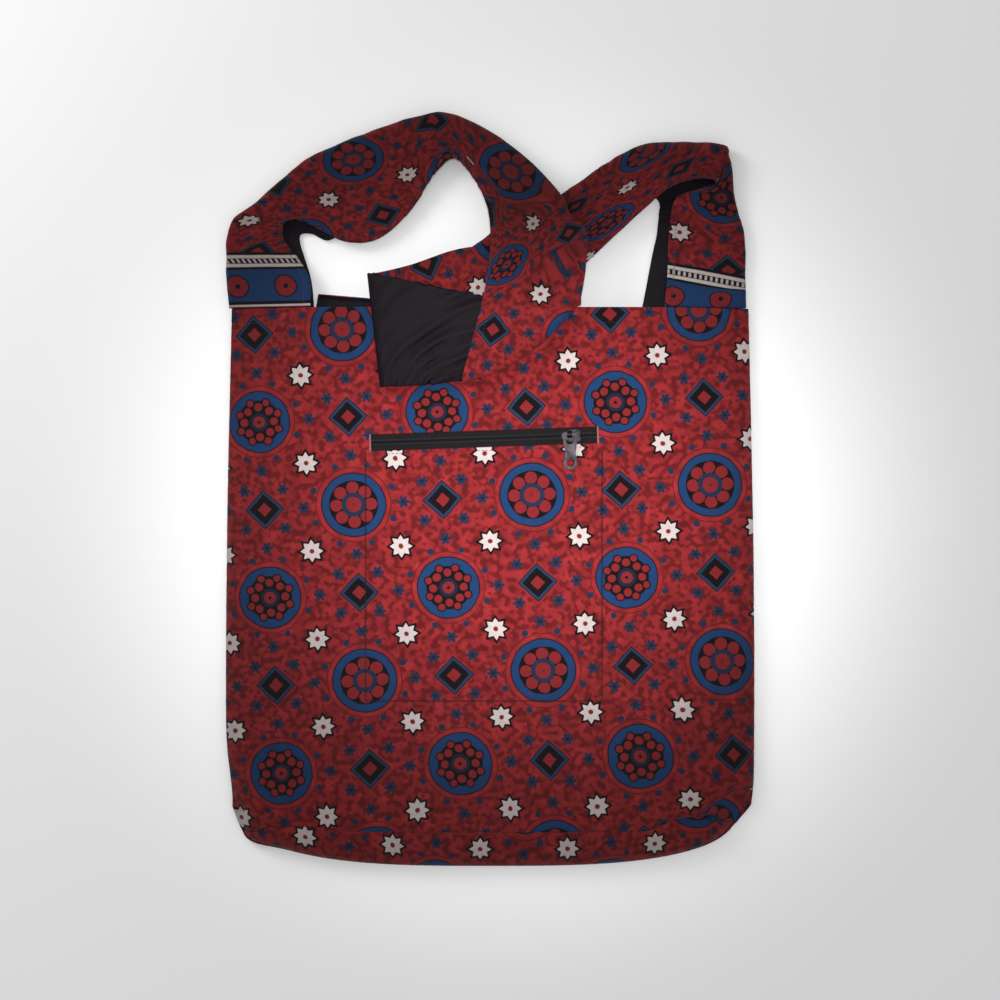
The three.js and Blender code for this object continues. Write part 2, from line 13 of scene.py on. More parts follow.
import bmesh
import bpy
import numpy as np
from mathutils import Vector
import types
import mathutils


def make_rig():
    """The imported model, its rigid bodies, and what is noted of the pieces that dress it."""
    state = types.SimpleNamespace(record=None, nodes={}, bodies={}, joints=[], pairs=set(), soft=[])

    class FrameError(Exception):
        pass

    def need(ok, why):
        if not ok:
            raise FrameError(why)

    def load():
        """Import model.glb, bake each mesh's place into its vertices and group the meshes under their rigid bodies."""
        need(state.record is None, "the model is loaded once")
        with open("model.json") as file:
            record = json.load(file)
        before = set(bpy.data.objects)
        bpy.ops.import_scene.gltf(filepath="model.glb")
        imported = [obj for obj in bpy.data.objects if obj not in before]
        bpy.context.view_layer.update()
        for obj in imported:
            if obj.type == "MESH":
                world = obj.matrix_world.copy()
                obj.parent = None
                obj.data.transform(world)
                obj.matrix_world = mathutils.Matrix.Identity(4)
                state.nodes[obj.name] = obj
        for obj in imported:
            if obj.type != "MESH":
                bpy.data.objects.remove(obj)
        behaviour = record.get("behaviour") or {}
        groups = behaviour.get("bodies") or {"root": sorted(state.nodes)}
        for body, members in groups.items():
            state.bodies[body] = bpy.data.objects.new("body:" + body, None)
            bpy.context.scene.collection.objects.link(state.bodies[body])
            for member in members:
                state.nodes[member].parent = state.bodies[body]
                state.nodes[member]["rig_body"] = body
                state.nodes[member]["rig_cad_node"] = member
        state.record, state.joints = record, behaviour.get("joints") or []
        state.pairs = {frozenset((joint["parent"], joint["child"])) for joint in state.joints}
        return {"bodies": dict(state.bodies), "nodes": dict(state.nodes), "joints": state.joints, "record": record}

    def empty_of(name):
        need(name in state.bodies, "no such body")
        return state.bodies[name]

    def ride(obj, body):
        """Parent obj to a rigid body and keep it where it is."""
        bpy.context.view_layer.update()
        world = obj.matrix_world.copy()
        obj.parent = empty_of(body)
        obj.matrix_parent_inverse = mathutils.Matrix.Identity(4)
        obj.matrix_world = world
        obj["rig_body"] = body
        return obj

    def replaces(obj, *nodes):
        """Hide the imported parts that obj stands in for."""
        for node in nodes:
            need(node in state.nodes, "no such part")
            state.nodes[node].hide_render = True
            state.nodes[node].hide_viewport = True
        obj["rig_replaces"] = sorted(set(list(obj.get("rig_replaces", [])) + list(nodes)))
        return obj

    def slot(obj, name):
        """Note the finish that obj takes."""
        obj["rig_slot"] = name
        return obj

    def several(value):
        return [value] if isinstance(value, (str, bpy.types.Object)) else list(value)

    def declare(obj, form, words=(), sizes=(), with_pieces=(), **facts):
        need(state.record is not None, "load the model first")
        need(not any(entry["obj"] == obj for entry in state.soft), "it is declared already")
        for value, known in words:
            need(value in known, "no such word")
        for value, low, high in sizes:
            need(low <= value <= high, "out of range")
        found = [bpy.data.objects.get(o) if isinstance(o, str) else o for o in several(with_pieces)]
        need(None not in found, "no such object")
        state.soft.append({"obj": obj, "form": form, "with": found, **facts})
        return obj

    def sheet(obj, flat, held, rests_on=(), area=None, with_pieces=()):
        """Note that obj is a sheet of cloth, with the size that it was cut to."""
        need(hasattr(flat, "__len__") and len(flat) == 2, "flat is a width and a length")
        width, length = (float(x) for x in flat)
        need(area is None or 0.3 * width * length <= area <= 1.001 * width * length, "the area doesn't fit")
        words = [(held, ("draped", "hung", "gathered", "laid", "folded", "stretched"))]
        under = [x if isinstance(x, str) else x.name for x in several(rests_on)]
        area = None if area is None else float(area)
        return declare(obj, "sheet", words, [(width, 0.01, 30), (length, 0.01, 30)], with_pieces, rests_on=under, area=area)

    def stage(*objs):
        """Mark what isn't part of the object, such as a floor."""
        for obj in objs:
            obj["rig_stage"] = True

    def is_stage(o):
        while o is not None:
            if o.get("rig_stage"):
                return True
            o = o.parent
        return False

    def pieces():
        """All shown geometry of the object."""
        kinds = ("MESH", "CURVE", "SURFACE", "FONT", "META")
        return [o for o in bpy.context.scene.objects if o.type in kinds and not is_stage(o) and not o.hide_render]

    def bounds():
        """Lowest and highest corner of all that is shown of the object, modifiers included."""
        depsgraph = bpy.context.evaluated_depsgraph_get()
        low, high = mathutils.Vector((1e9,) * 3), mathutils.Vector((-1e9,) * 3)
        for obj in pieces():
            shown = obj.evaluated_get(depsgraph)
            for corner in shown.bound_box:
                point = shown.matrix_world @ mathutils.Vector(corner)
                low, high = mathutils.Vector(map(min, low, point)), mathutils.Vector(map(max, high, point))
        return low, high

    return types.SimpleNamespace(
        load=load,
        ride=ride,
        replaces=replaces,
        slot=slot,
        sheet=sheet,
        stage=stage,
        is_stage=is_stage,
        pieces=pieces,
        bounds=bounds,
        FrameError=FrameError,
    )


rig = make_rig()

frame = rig.load()
cad_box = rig.bounds()

MM = 0.001


def named(columns, *rows):
    """The rows of a table, with their columns named."""
    row_kind = namedtuple("Row", columns)
    return [row_kind(*row) for row in rows]


# Sizes of the bag, as in the part

CLOTH = 1.2
LINING = 1.0
SEAM_GAP = 0.1

BAG = Sizes(
    mouth_y=132, mouth_half=188.4, bulge=4.4, bulge_y=-140, corner_top=-200, corner_depth=74.5,
    corner_power=3.1, thickness=20.2, rim=4.9, side_run=45, mouth_run=60, base_run=34,
    bulge_end=1.45, mouth_from=20, side_power=2, mouth_power=1.1,
)
BACK = Sizes(
    raised_y=143, raised_from=-125.5, raised_run=2, fall=0.083, lowest=131.6, curl=2, curl_run=18,
)
GUSSET = Sizes(seam_y=-248, seam_rise=2, half=174, tip=1.2, relief_reach=12, relief_run=9)
LINER = Sizes(
    inset=12, front_height=15, front_rim=4.8, back_height=1.7, mouth_drop=1, mouth_from=95,
    mouth_run=36, under_panel=1.9,
)

# How loosely the linings lie: the front one where it is high enough, the back one in its middle.
LOOSE = Sizes(
    front=0.5, front_from=6, front_run=5, back=0.6, back_half=150, back_run=40, back_below=0.6,
    back_mouth=118, back_mouth_run=14, moved=50,
)
STRAP = Sizes(
    cloth_out=1.25, cloth_in=0.15, lining_out=-0.15, lining_in=-1.15, bend_flat=6, cell=2.4,
    least_cells=4,
)
ZIP = Sizes(
    x=-4.3, y=36.6, tilt=2, slot_length=163.5, slot_width=12, tape_length=168, tape_outer=9,
    tape_thick=0.8, tape_z=17.7, half_gap=0.6, teeth_outer=2.5, teeth_z=18.8, teeth_high=1.2,
)
COIL = Sizes(pitch=1.5, wide=1.05, overlap=0.1)
TAPE_RIB = Sizes(high=0.05, pitch=0.9)
BROKEN_EDGE = Sizes(slider=0.22, puller=0.24, segments=3, angle=35, sharp_from=40)

# The strap from its left end to its right end. Hem is the edge that starts at the front of the
# bag, crease the line that it is folded along, back the other edge. Fold is 1 where the back part
# is turned under the crease and 0 where the strap lies open.
STRAP_ROWS = named(
    ("at", "hem", "crease", "back", "fold"),
    ("left base", (-129.6, 132.4, 18.9), (-186.6, 132.4, 7), (-128.5, 132.4, 1.6), 1),
    ("left border", (-131, 153, 12.5), (-188.6, 153, 6.8), (-130.7, 153, 1.6), 1),
    ("left rise", (-140, 169, 8.8), (-188.7, 169, 6.8), (-135.4, 169, 1.6), 1),
    ("left neck", (-150, 182, 8), (-188.5, 183.5, 7), (-138.8, 180, 1.6), 1),
    ("left elbow", (-149.5, 194, 8.4), (-183.5, 196.5, 7.4), (-138.6, 186, 1.6), 1),
    ("left turn", (-140, 196.5, 8.8), (-170.5, 205, 8.2), (-131, 187, 1.6), 1),
    ("left slope", (-124.5, 189.5, 8.6), (-149, 222, 8.8), (-118.5, 182, 1.6), 1),
    ("loop foot", (-105, 180.5, 7.8), (-131.8, 236.5, 9.4), (-106, 190, 1.7), 1),
    ("loop belly", (-83, 182, 7.8), (-108.5, 247, 10), (-92, 204, 1.7), 1),
    ("loop shoulder", (-58, 203, 9), (-79, 257.5, 11.5), (-67, 228, 1.8), 1),
    ("loop crown", (-40.5, 229.5, 11), (-52, 265.2, 13), (-47, 241, 2), 1),
    ("loop peak", (-26.5, 240.5, 13), (-31, 267.6, 14), (-29.5, 243, 2.6), 1),
    ("loop fall", (-13, 227, 16.5), (-4.5, 255.2, 17), (-10, 233, 5.5), 1),
    ("over strap", (-2, 204, 22.5), (26.3, 231.8, 24.5), (12.5, 218, 15), 1),
    ("over edge", (0.5, 182, 27.5), (48, 209, 30), (40, 204, 23), 1),
    ("unfolding", (0, 171, 29), (55.5, 197, 31.2), (54.5, 196.5, 23.2), 0.5),
    ("opened", (-1, 160, 29.8), (60.5, 184, 31.2), (68, 187, 30), 0),
    ("flat", (-6, 134, 30.2), (63, 158, 30.2), (69, 160.5, 30.2), 0),
    ("first fold in", (-20, 80.2, 30.2), (59.5, 133, 30.2), (65.2, 136.6, 30.2), 0),
    ("first fold", (-20.4, 77.5, 28.2), (59, 130.3, 28.2), (64.8, 134.1, 28.2), 0),
    ("first fold out", (-23.3, 78, 26.2), (56.2, 130.8, 26.2), (61.9, 134.4, 26.2), 0),
    ("turned over", (-44, 75.5, 26.2), (2, 132.5, 26.2), (6, 138, 26.2), 0),
    ("second fold in", (-76.2, 74, 26.2), (-84.9, 149.8, 26.2), (-85.6, 155.8, 26.2), 0),
    ("second fold", (-78.2, 74, 24.2), (-86.9, 149.8, 24.2), (-87.6, 155.8, 24.2), 0),
    ("second fold out", (-76.2, 74, 22.2), (-84.9, 149.8, 22.2), (-85.6, 155.8, 22.2), 0),
    ("under", (-36, 92, 22.2), (-56, 156, 22.2), (-58, 162, 22.2), 0),
    ("under middle", (-2, 110, 22.2), (-24, 165.5, 22.2), (-27, 172.5, 22.2), 0),
    ("under turn", (16, 122, 22.4), (-8, 176, 22.4), (-7.5, 175, 14), 0.5),
    ("under edge", (33, 133.5, 22.4), (9, 185.5, 22.4), (14, 174.5, 14.6), 1),
    ("right strap foot", (56, 151.5, 20.8), (33, 197.5, 19.8), (40, 183, 12.4), 1),
    ("right strap", (84, 178, 15), (63.8, 216.5, 14.5), (74, 197, 6.5), 1),
    ("right strap head", (112, 204, 12), (94.8, 237.4, 12), (107, 213, 3.2), 1),
    ("right turn", (130, 219, 11.8), (116.4, 246.7, 11.8), (121, 213, 2), 1),
    ("right brow", (147, 225, 12.2), (143.3, 246.6, 12.2), (124, 208, 1.7), 1),
    ("right elbow", (162, 224.5, 13.2), (169.5, 243.5, 13), (123.5, 203.5, 1.6), 1),
    ("right corner", (165, 221.5, 11.6), (172, 235, 11.4), (123.3, 201, 1.6), 1),
    ("right pleat", (151, 218.5, 9.8), (172, 220, 9.8), (123, 198, 1.6), 1),
    ("right shoulder", (135, 211.5, 8.8), (175.3, 206.5, 8.4), (122.5, 193.5, 1.6), 1),
    ("right neck", (131.5, 199, 8.2), (179.5, 194, 7.2), (121.5, 185, 1.6), 1),
    ("right rise", (129.6, 177, 8.6), (182.3, 180, 6.8), (119, 174, 1.6), 1),
    ("right border", (128.5, 154, 12.5), (182.6, 156, 6.8), (115, 153, 1.6), 1),
    ("right base", (126, 132.4, 18.9), (183, 132.4, 7), (111, 132.4, 1.6), 1),
)
ROW_NAMED = {row.at: index for index, row in enumerate(STRAP_ROWS)}

# Sizes of the sewing

HEM = 11  # stitch line under the mouth's edge
# The last two numbers are the width and the tone of a painted shadow along the pocket's stitch line.
POCKET = Sizes(left=-90, right=81, bottom=-153, under_zip=9, line=0.65, line_tone=0.42)
STITCH = Sizes(
    pitch=2.9, long=2.1, thick=0.42, raised=0.2, beside_slit=2.4, past_slit=2.2, off_side=3,
    strap_sunk=0.12,
)
TACK = Sizes(pitch=0.5, long=1.5, wide=0.45, high=0.4, past_slit=0.6, lift=0.15)

# The print: a roundel lattice, whose rows run a little uphill across the front panel

REPEAT = 126.7
ROW_STEP = (129.0, 7.2)
COLUMN_STEP = (-8.2, 127.0)
FRONT_ROUNDEL = (-30.1, -70.9)  # the middle of one roundel on the front panel

# Folds and creases in the front panel and gusset: a valley along each line.
CREASES = named(
    ("at", "start", "end", "depth", "width"),
    ("right corner tuck", (134, -242), (160, -238), 3.4, 3.0),
    ("right corner turn", (160, -238), (166, -252), 2.8, 2.6),
    ("right corner fold", (154, -221), (152, -236), 2.4, 2.6),
    ("right corner pinch", (168, -213), (182, -219), 1.5, 2.6),
    ("right edge dent", (190, -196), (170, -206), 1.4, 3.2),
    ("left corner tuck", (-186, -234), (-160, -231), 2.4, 2.4),
    ("left corner fold", (-160, -231), (-142, -240), 1.2, 3.0),
    ("left edge dent", (-190, -150), (-174, -160), 1.0, 3.2),
    ("left edge fold", (-192, -205), (-170, -198), 1.2, 3.4),
    ("press crease left", (-42, -152), (-44, -244), 0.6, 1.6),
    ("press crease right", (52, -160), (54, -240), 0.4, 1.6),
)

# Where the bag's outline is pushed in or drawn out.
PUSHES = named(
    ("at", "middle", "reach", "shift"),
    ("right corner", (179, -235), 16, (-3.6, 3.2)),
    ("left side", (-196, -228), 30, (4.4, 0)),
    ("left corner", (-172, -253), 16, (-5, -3.2)),
)

# Where the base seam is drawn up: it rises over one length and comes down over another.
SEAM_LIFTS = named(
    ("at", "start", "rise_run", "end", "fall_run", "lift"),
    ("right corner", 108, 30, 168, 8, 9.5),
    ("left corner", -170, 16, -96, 34, 3.2),
)

# A tuck at the right lower corner hides some cloth: past its line the print has moved on.
TUCK = Sizes(
    at=(153.5, -233.5), heading=(0.63, -0.78), width=5, shift=(-18.4, 9.6), below=-208, below_run=14,
)

# Where the front's cloth is pulled aside, and by how much.
PULLS = named(
    ("at", "middle", "reach", "shift"),
    ("lower right", (172, -200), 55, (5.3, -5.0)),
    ("base right", (77, -232), 40, (0.5, -4.2)),
    ("base left", (-98, -246), 34, (-2, -2.4)),
    ("base seam", (38, -246), 34, (0, -1.6)),
    ("base middle", (10, -232), 35, (2.2, -1.6)),
)

# Small helpers


def clamp01(value):
    return np.clip(value, 0, 1)


def mix(start, end, share):
    """A value between two others."""
    return start + (end - start) * share


def smooth(value):
    """0 up to 0 and 1 from 1 on, with a soft slope between."""
    return clamp01(value) ** 2 * (3 - 2 * clamp01(value))


def rise(share, power):
    """A slope that starts steep at 0 and levels out at 1."""
    return (1 - (1 - clamp01(share)) ** power) ** (1 / power)


def hollow(distance, width):
    """1 at no distance, falling to 0 on both sides past a width."""
    return np.exp(-((distance / width) ** 2))


def nearness(x, y, spot):
    """1 in the middle of a spot, falling to 0 past its reach."""
    return hollow(np.hypot(x - spot.middle[0], y - spot.middle[1]), spot.reach)


def ripples(seed, count, wavelength, heading=None, spread=math.pi):
    """A smooth random field of about -1 to 1: plane waves of about one length and heading."""
    rng = np.random.default_rng(seed)
    centre = 0 if heading is None else math.radians(heading)
    angles = centre + rng.uniform(-spread, spread, count)
    numbers = 2 * math.pi / (wavelength * rng.uniform(0.7, 1.5, count))
    phases = rng.uniform(0, 2 * math.pi, count)

    def field(x, y):
        total = 0
        for angle, number, phase in zip(angles, numbers, phases):
            total = total + np.cos(number * (x * math.cos(angle) + y * math.sin(angle)) + phase)
        return total / math.sqrt(2 * count)

    return field


def line_distance(x, y, start, end):
    """Distance from points to a line between two points."""
    (x0, y0), (x1, y1) = start, end
    run_x, run_y = x1 - x0, y1 - y0
    along = clamp01(((x - x0) * run_x + (y - y0) * run_y) / (run_x**2 + run_y**2))
    return np.hypot(x - mix(x0, x1, along), y - mix(y0, y1, along))


# Meshes


def grid_normals(points):
    """Unit normals of a grid of points."""
    along = np.gradient(points, axis=0)
    across = np.gradient(points, axis=1)
    normal = np.cross(along, across)
    return normal / np.maximum(np.linalg.norm(normal, axis=2, keepdims=True), 1e-12)


def new_object(name, mesh, material=None):
    """An object in the scene for a mesh."""
    made = bpy.data.objects.new(name, mesh)
    bpy.context.scene.collection.objects.link(made)
    if material:
        mesh.materials.append(material)
    return made


def smooth_mesh(name, points, faces):
    """A smooth-shaded mesh from points in millimetres."""
    mesh = bpy.data.meshes.new(name)
    mesh.from_pydata((points * MM).tolist(), [], faces.tolist())
    mesh.polygons.foreach_set("use_smooth", np.ones(len(mesh.polygons), bool))
    return mesh


def cloth_wall(name, points, outside, inside, material, keep=None, **places):
    """A closed sheet: a grid moved along its normals to two sides, with a rim round each edge.

    Outside and inside are distances, alike all over or one for each point. Keep says which cells
    are cloth. Each of the places is an attribute: two lengths for each point of the grid.
    """
    rows, columns, _ = points.shape
    normals = grid_normals(points)
    shape = (rows, columns, 1)
    sides = [np.broadcast_to(np.asarray(side, float).reshape(np.shape(side) + (1,)), shape)
             for side in (outside, inside)]
    number = np.arange(rows * columns).reshape(rows, columns)
    cells = np.stack([number[:-1, :-1], number[1:, :-1], number[1:, 1:], number[:-1, 1:]], axis=-1)
    outer = cells.reshape(-1, 4) if keep is None else cells[keep]
    total = rows * columns
    start, end = outer.ravel(), np.roll(outer, -1, axis=1).ravel()
    open_edge = ~np.isin(start * total + end, end * total + start)
    start, end = start[open_edge], end[open_edge]
    rim = np.stack([end, start, start + total, end + total], axis=-1)
    faces = np.vstack([outer, outer[:, ::-1] + total, rim])
    used, faces = np.unique(faces, return_inverse=True)
    faces = faces.reshape(-1, 4)
    both = np.vstack([(points + normals * side).reshape(-1, 3) for side in sides])
    mesh = smooth_mesh(name, both[used], faces)
    for attribute, place in places.items():
        flat = np.pad(place.reshape(-1, 2) * MM, ((0, 0), (0, 1)))
        flat = np.vstack([flat, flat])[used].astype(np.float32)
        layer = mesh.attributes.new(attribute, "FLOAT_VECTOR", "POINT")
        layer.data.foreach_set("vector", flat.ravel())
    return new_object(name, mesh, material)


def settled(made, name):
    """The object with its modifiers worked into a plain mesh."""
    graph = bpy.context.evaluated_depsgraph_get()
    finished = bpy.data.meshes.new_from_object(made.evaluated_get(graph))
    made.modifiers.clear()
    made.data = finished
    finished.name = name
    return made


# Outline and height of the bag


def half_width(y):
    """Half the bag's width, which is greatest where its sides bulge."""
    reach = np.clip((BAG.mouth_y - y) / (BAG.mouth_y - BAG.bulge_y), 0, BAG.bulge_end)
    return BAG.mouth_half + BAG.bulge * np.sin(reach * math.pi / 2)


def bottom_y(x):
    """The bag's lower outline, rounded at both corners."""
    power = BAG.corner_power
    side = np.minimum(1, np.abs(x) / half_width(BAG.corner_top))
    return BAG.corner_top - BAG.corner_depth * (1 - side**power) ** (1 / power)


def pillow_height(x, y, height, rim, inset):
    """Height of a filled panel, rising from a rim at its sides and base, and steeper at the mouth."""
    near_mouth = smooth((y - BAG.mouth_from) / (BAG.mouth_y - BAG.mouth_from))
    side_run = mix(BAG.side_run, BAG.mouth_run, near_mouth)
    from_side = half_width(y) - inset - np.abs(x)
    from_base = y - bottom_y(x) - inset
    across = rise(from_side / side_run, mix(BAG.side_power, BAG.mouth_power, near_mouth))
    return rim + (height - rim) * across * rise(from_base / BAG.base_run, BAG.side_power)


def plain_front(x, y):
    """Height of the front before any relief."""
    return pillow_height(x, y, BAG.thickness, BAG.rim, 0)


def back_height(x, y):
    """Height of the back panel, which curls up at its sides and base."""
    side = clamp01(1 - (half_width(y) - np.abs(x)) / BACK.curl_run)
    base = clamp01(1 - (y - bottom_y(x)) / BACK.curl_run)
    return BACK.curl * np.minimum(1, side**2 + base**2)


def back_top_y(x):
    """The back panel's upper edge, which stands above the front's between the strap's ends."""
    raised = BACK.raised_y - BACK.fall * (x - BACK.raised_from)
    start = smooth((x - BACK.raised_from + BACK.raised_run) / BACK.raised_run)
    edge = mix(BACK.lowest, np.maximum(BACK.lowest, raised), start)
    return np.where(x > STRAP_ROWS[-1].back[0], BACK.lowest, edge)


def seam_y(x):
    """The seam between front panel and gusset."""
    seam = GUSSET.seam_y + GUSSET.seam_rise * (np.abs(x) / GUSSET.half) ** 3
    for drawn in SEAM_LIFTS:
        risen = smooth((x - drawn.start) / drawn.rise_run)
        seam = seam + drawn.lift * (risen * smooth((drawn.end - x) / drawn.fall_run))
    return seam


def zip_frame(x, y):
    """Coordinates along and across the zip."""
    tilt = math.radians(ZIP.tilt)
    dx, dy = x - ZIP.x, y - ZIP.y
    return dx * math.cos(tilt) + dy * math.sin(tilt), dy * math.cos(tilt) - dx * math.sin(tilt)


def from_zip(along, across, z):
    """Points of the bag from coordinates along, across and above the zip."""
    tilt = math.radians(ZIP.tilt)
    x = ZIP.x + along * math.cos(tilt) - across * math.sin(tilt)
    y = ZIP.y + along * math.sin(tilt) + across * math.cos(tilt)
    return np.stack(np.broadcast_arrays(x, y, z), axis=-1)


def slot_distance(x, y):
    """Distance outward from the zip's slit."""
    along, across = zip_frame(x, y)
    over_end = np.maximum(np.abs(along) - ZIP.slot_length / 2, 0)
    over_side = np.maximum(np.abs(across) - ZIP.slot_width / 2, 0)
    return np.hypot(over_end, over_side)


# How high each unevenness of the front stands, and how far it reaches from the sides and the seam.
# A crease has a low swelling on both sides.
RELIEF = Sizes(
    swell=0.75, crumple=0.42, fine=0.13, sink=0.45, side_gather=0.45, side_reach=16,
    seam_gather=0.4, seam_reach=9, zip_clear=4, zip_run=22, swelling=0.45, swelling_wide=2.4,
)

# The folded strap lies here and presses the front flatter.
PILE = Sizes(x=-8, half=110, y=60, run=20, pressed=0.75)

# How far the hem stands up, how deep and wide the stitch lines are, and how far and over what length
# the edges are rounded.
HEM_UP = 0.22
LINES = dict(hem=(0.3, 1.0), pocket=(0.4, 1.2), zip=(0.16, 0.9))
EDGES = dict(slit=(0.5, 1.4), seam=(0.55, 2.2), mouth=(0.4, 1.5), back=(0.45, 2))

broad_swell = ripples(3, 7, 95)
soft_crumple = ripples(11, 12, 34)
fine_crumple = ripples(23, 16, 13)
side_gather = ripples(31, 6, 16, heading=90, spread=0.25)
seam_gather = ripples(37, 6, 11, heading=0, spread=0.2)


def front_relief(x, y):
    """What the cloth of the front adds to its plain height: swells, crumples and creases."""
    clear_of_zip = smooth((slot_distance(x, y) - RELIEF.zip_clear) / RELIEF.zip_run)
    under_pile = smooth((y - PILE.y) / PILE.run)
    under_pile = under_pile * smooth((PILE.half - np.abs(x - PILE.x)) / PILE.run)
    calm = clear_of_zip * (1 - PILE.pressed * under_pile)
    uneven = RELIEF.swell * broad_swell(x, y) + RELIEF.crumple * soft_crumple(x, y)
    total = calm * (uneven + RELIEF.fine * fine_crumple(x, y) - RELIEF.sink)
    from_side = half_width(y) - np.abs(x)
    total += RELIEF.side_gather * side_gather(x, y) * hollow(from_side, RELIEF.side_reach)
    total += RELIEF.seam_gather * seam_gather(x, y) * hollow(y - seam_y(x), RELIEF.seam_reach)
    for crease in CREASES:
        away = line_distance(x, y, crease.start, crease.end)
        beside = hollow(away, RELIEF.swelling_wide * crease.width)
        total -= crease.depth * (hollow(away, crease.width) - RELIEF.swelling * beside)
    return total


def front_height(x, y):
    """Height of the front with its relief."""
    return plain_front(x, y) + front_relief(x, y)


def pocket_distance(x, y):
    """Distance to the pocket's stitch line, which runs down from both ends of the zip."""
    top = ZIP.y
    corners = [(POCKET.left, top), (POCKET.left, POCKET.bottom),
               (POCKET.right, POCKET.bottom), (POCKET.right, top)]
    return np.minimum.reduce([line_distance(x, y, a, b) for a, b in zip(corners, corners[1:])])


def sewn_in(line, away):
    """How deep a face lies at a distance from a stitch line."""
    depth, width = LINES[line]
    return depth * hollow(away, width)


def rounded_off(edge, away):
    """How deep a face lies at a distance from a rounded edge."""
    depth, run = EDGES[edge]
    return depth * (1 - rise(away / run, 2))


def front_finish(x, y):
    """How far the outer face stands off the panel: hem, stitch lines and rounded edges."""
    from_mouth = BAG.mouth_y - y
    from_slit = slot_distance(x, y)
    hem = HEM_UP * smooth((HEM + 1 - from_mouth) / 2)
    lines = -sewn_in("hem", from_mouth - HEM) - sewn_in("pocket", pocket_distance(x, y))
    lines -= sewn_in("zip", from_slit - STITCH.beside_slit)
    edges = -rounded_off("slit", from_slit) - rounded_off("seam", y - seam_y(x))
    edges -= rounded_off("mouth", from_mouth)
    return hem + lines + edges


# Panels


def lattice_cut(x, y):
    """The front panel's place on the printed cloth, measured from the middle of a roundel."""
    (tuck_x, tuck_y), (to_x, to_y) = TUCK.at, TUCK.heading
    past = smooth(((x - tuck_x) * to_x + (y - tuck_y) * to_y) / TUCK.width + 0.5)
    past = past * smooth((TUCK.below - y) / TUCK.below_run)
    dx = x - FRONT_ROUNDEL[0] - TUCK.shift[0] * past
    dy = y - FRONT_ROUNDEL[1] - TUCK.shift[1] * past
    for pull in PULLS:
        share = nearness(x, y, pull)
        dx, dy = dx - pull.shift[0] * share, dy - pull.shift[1] * share
    (rx, ry), (cx, cy) = ROW_STEP, COLUMN_STEP
    area = rx * cy - ry * cx
    u, v = (dx * cy - dy * cx) / area, (dy * rx - dx * ry) / area
    return np.stack([u, v], axis=-1) * REPEAT


# Rows of the cloth grids: a plain step, and distances from an edge, the hem's edge and the seam.
STEP = 2.0
EDGE_STEPS = np.array([0, 0.4, 0.9, 1.6, 2.6])
HEM_STEPS = np.array([0, 0.5, 1.1, 2, 4, 6.5, 8.4, 9.6, 10.4, 11, 11.6, 12.4, 13.6])
SEAM_STEPS = np.array([0, 0.3, 0.8, 1.5, 2.6, 4])
GUSSET_SHARES = np.array([0, 0.012, 0.03, 0.06, 0.1, *np.linspace(0.15, 0.92, 14), 0.95, 0.98, 1])


def column_shares(extra=(), count=188):
    """Columns as shares of the half width, closer together at the sides and at extra places."""
    sides = 1 - np.array([0.002, 0.005, 0.0085])
    shares = np.concatenate([np.linspace(-1, 1, count), sides, -sides])
    apart = [np.min(np.abs(share - np.array(extra)), initial=1) > 0.004 for share in shares]
    return np.unique(np.concatenate([shares[apart], extra]))


def graded_rows(run, first, last, plain_from, plain_end):
    """Rows along a run, as shares of it: fine steps at both ends and plain steps between them."""
    plain = np.arange(plain_from, run - plain_end, STEP)
    return np.unique(np.concatenate([first, plain, run - last])) / run


def plan_points(shares, ys, height):
    """Points of a panel, from shares of the half width, with the outline's pushes."""
    x = shares * half_width(ys)
    pushed = np.stack([x, ys, height(x, ys)], axis=-1)
    for push in PUSHES:
        pushed[..., :2] += nearness(x, ys, push)[..., None] * push.shift
    return pushed


def front_panel(material):
    """The front, open along the zip's slit: rows above the slit, across it and below it."""
    slot_half = ZIP.slot_length / 2 * math.cos(math.radians(ZIP.tilt))
    ends = [ZIP.x - slot_half - EDGE_STEPS, ZIP.x + slot_half + EDGE_STEPS]
    shares = column_shares(np.concatenate(ends) / half_width(ZIP.y))
    x = shares * half_width(ZIP.y)
    middle = ZIP.y + (x - ZIP.x) * math.tan(math.radians(ZIP.tilt))
    slot_top, slot_bottom = middle + ZIP.slot_width / 2, middle - ZIP.slot_width / 2
    nominal = shares * BAG.mouth_half
    base = np.maximum(seam_y(nominal) + SEAM_GAP / 2, bottom_y(nominal))
    upper_run = BAG.mouth_y - ZIP.y - ZIP.slot_width / 2
    upper = graded_rows(upper_run, HEM_STEPS, EDGE_STEPS, plain_from=15.5, plain_end=4)
    lower_run = ZIP.y - ZIP.slot_width / 2 - GUSSET.seam_y
    lower = graded_rows(lower_run, EDGE_STEPS, SEAM_STEPS, plain_from=4.4, plain_end=5)
    inner = np.linspace(0, 1, 7)[1:-1]
    ys = np.concatenate([
        mix(BAG.mouth_y, slot_top, upper[:, None]),
        mix(slot_top, slot_bottom, inner[:, None]),
        mix(slot_bottom, base, lower[:, None])])
    points = plan_points(shares, ys, front_height)
    first, last = len(upper) - 1, len(upper) + len(inner)
    keep = np.ones((len(ys) - 1, len(shares) - 1), bool)
    middle_x = (x[:-1] + x[1:]) / 2
    keep[first:last, np.abs(middle_x - ZIP.x) < slot_half] = False
    outside = front_finish(points[..., 0], points[..., 1])
    cut = lattice_cut(points[..., 0], points[..., 1])
    return cloth_wall("printed_front", points, outside, -CLOTH, material, keep, cut=cut)


BACK_PRINT = (40, 25)  # how far the back's print is moved from the front's


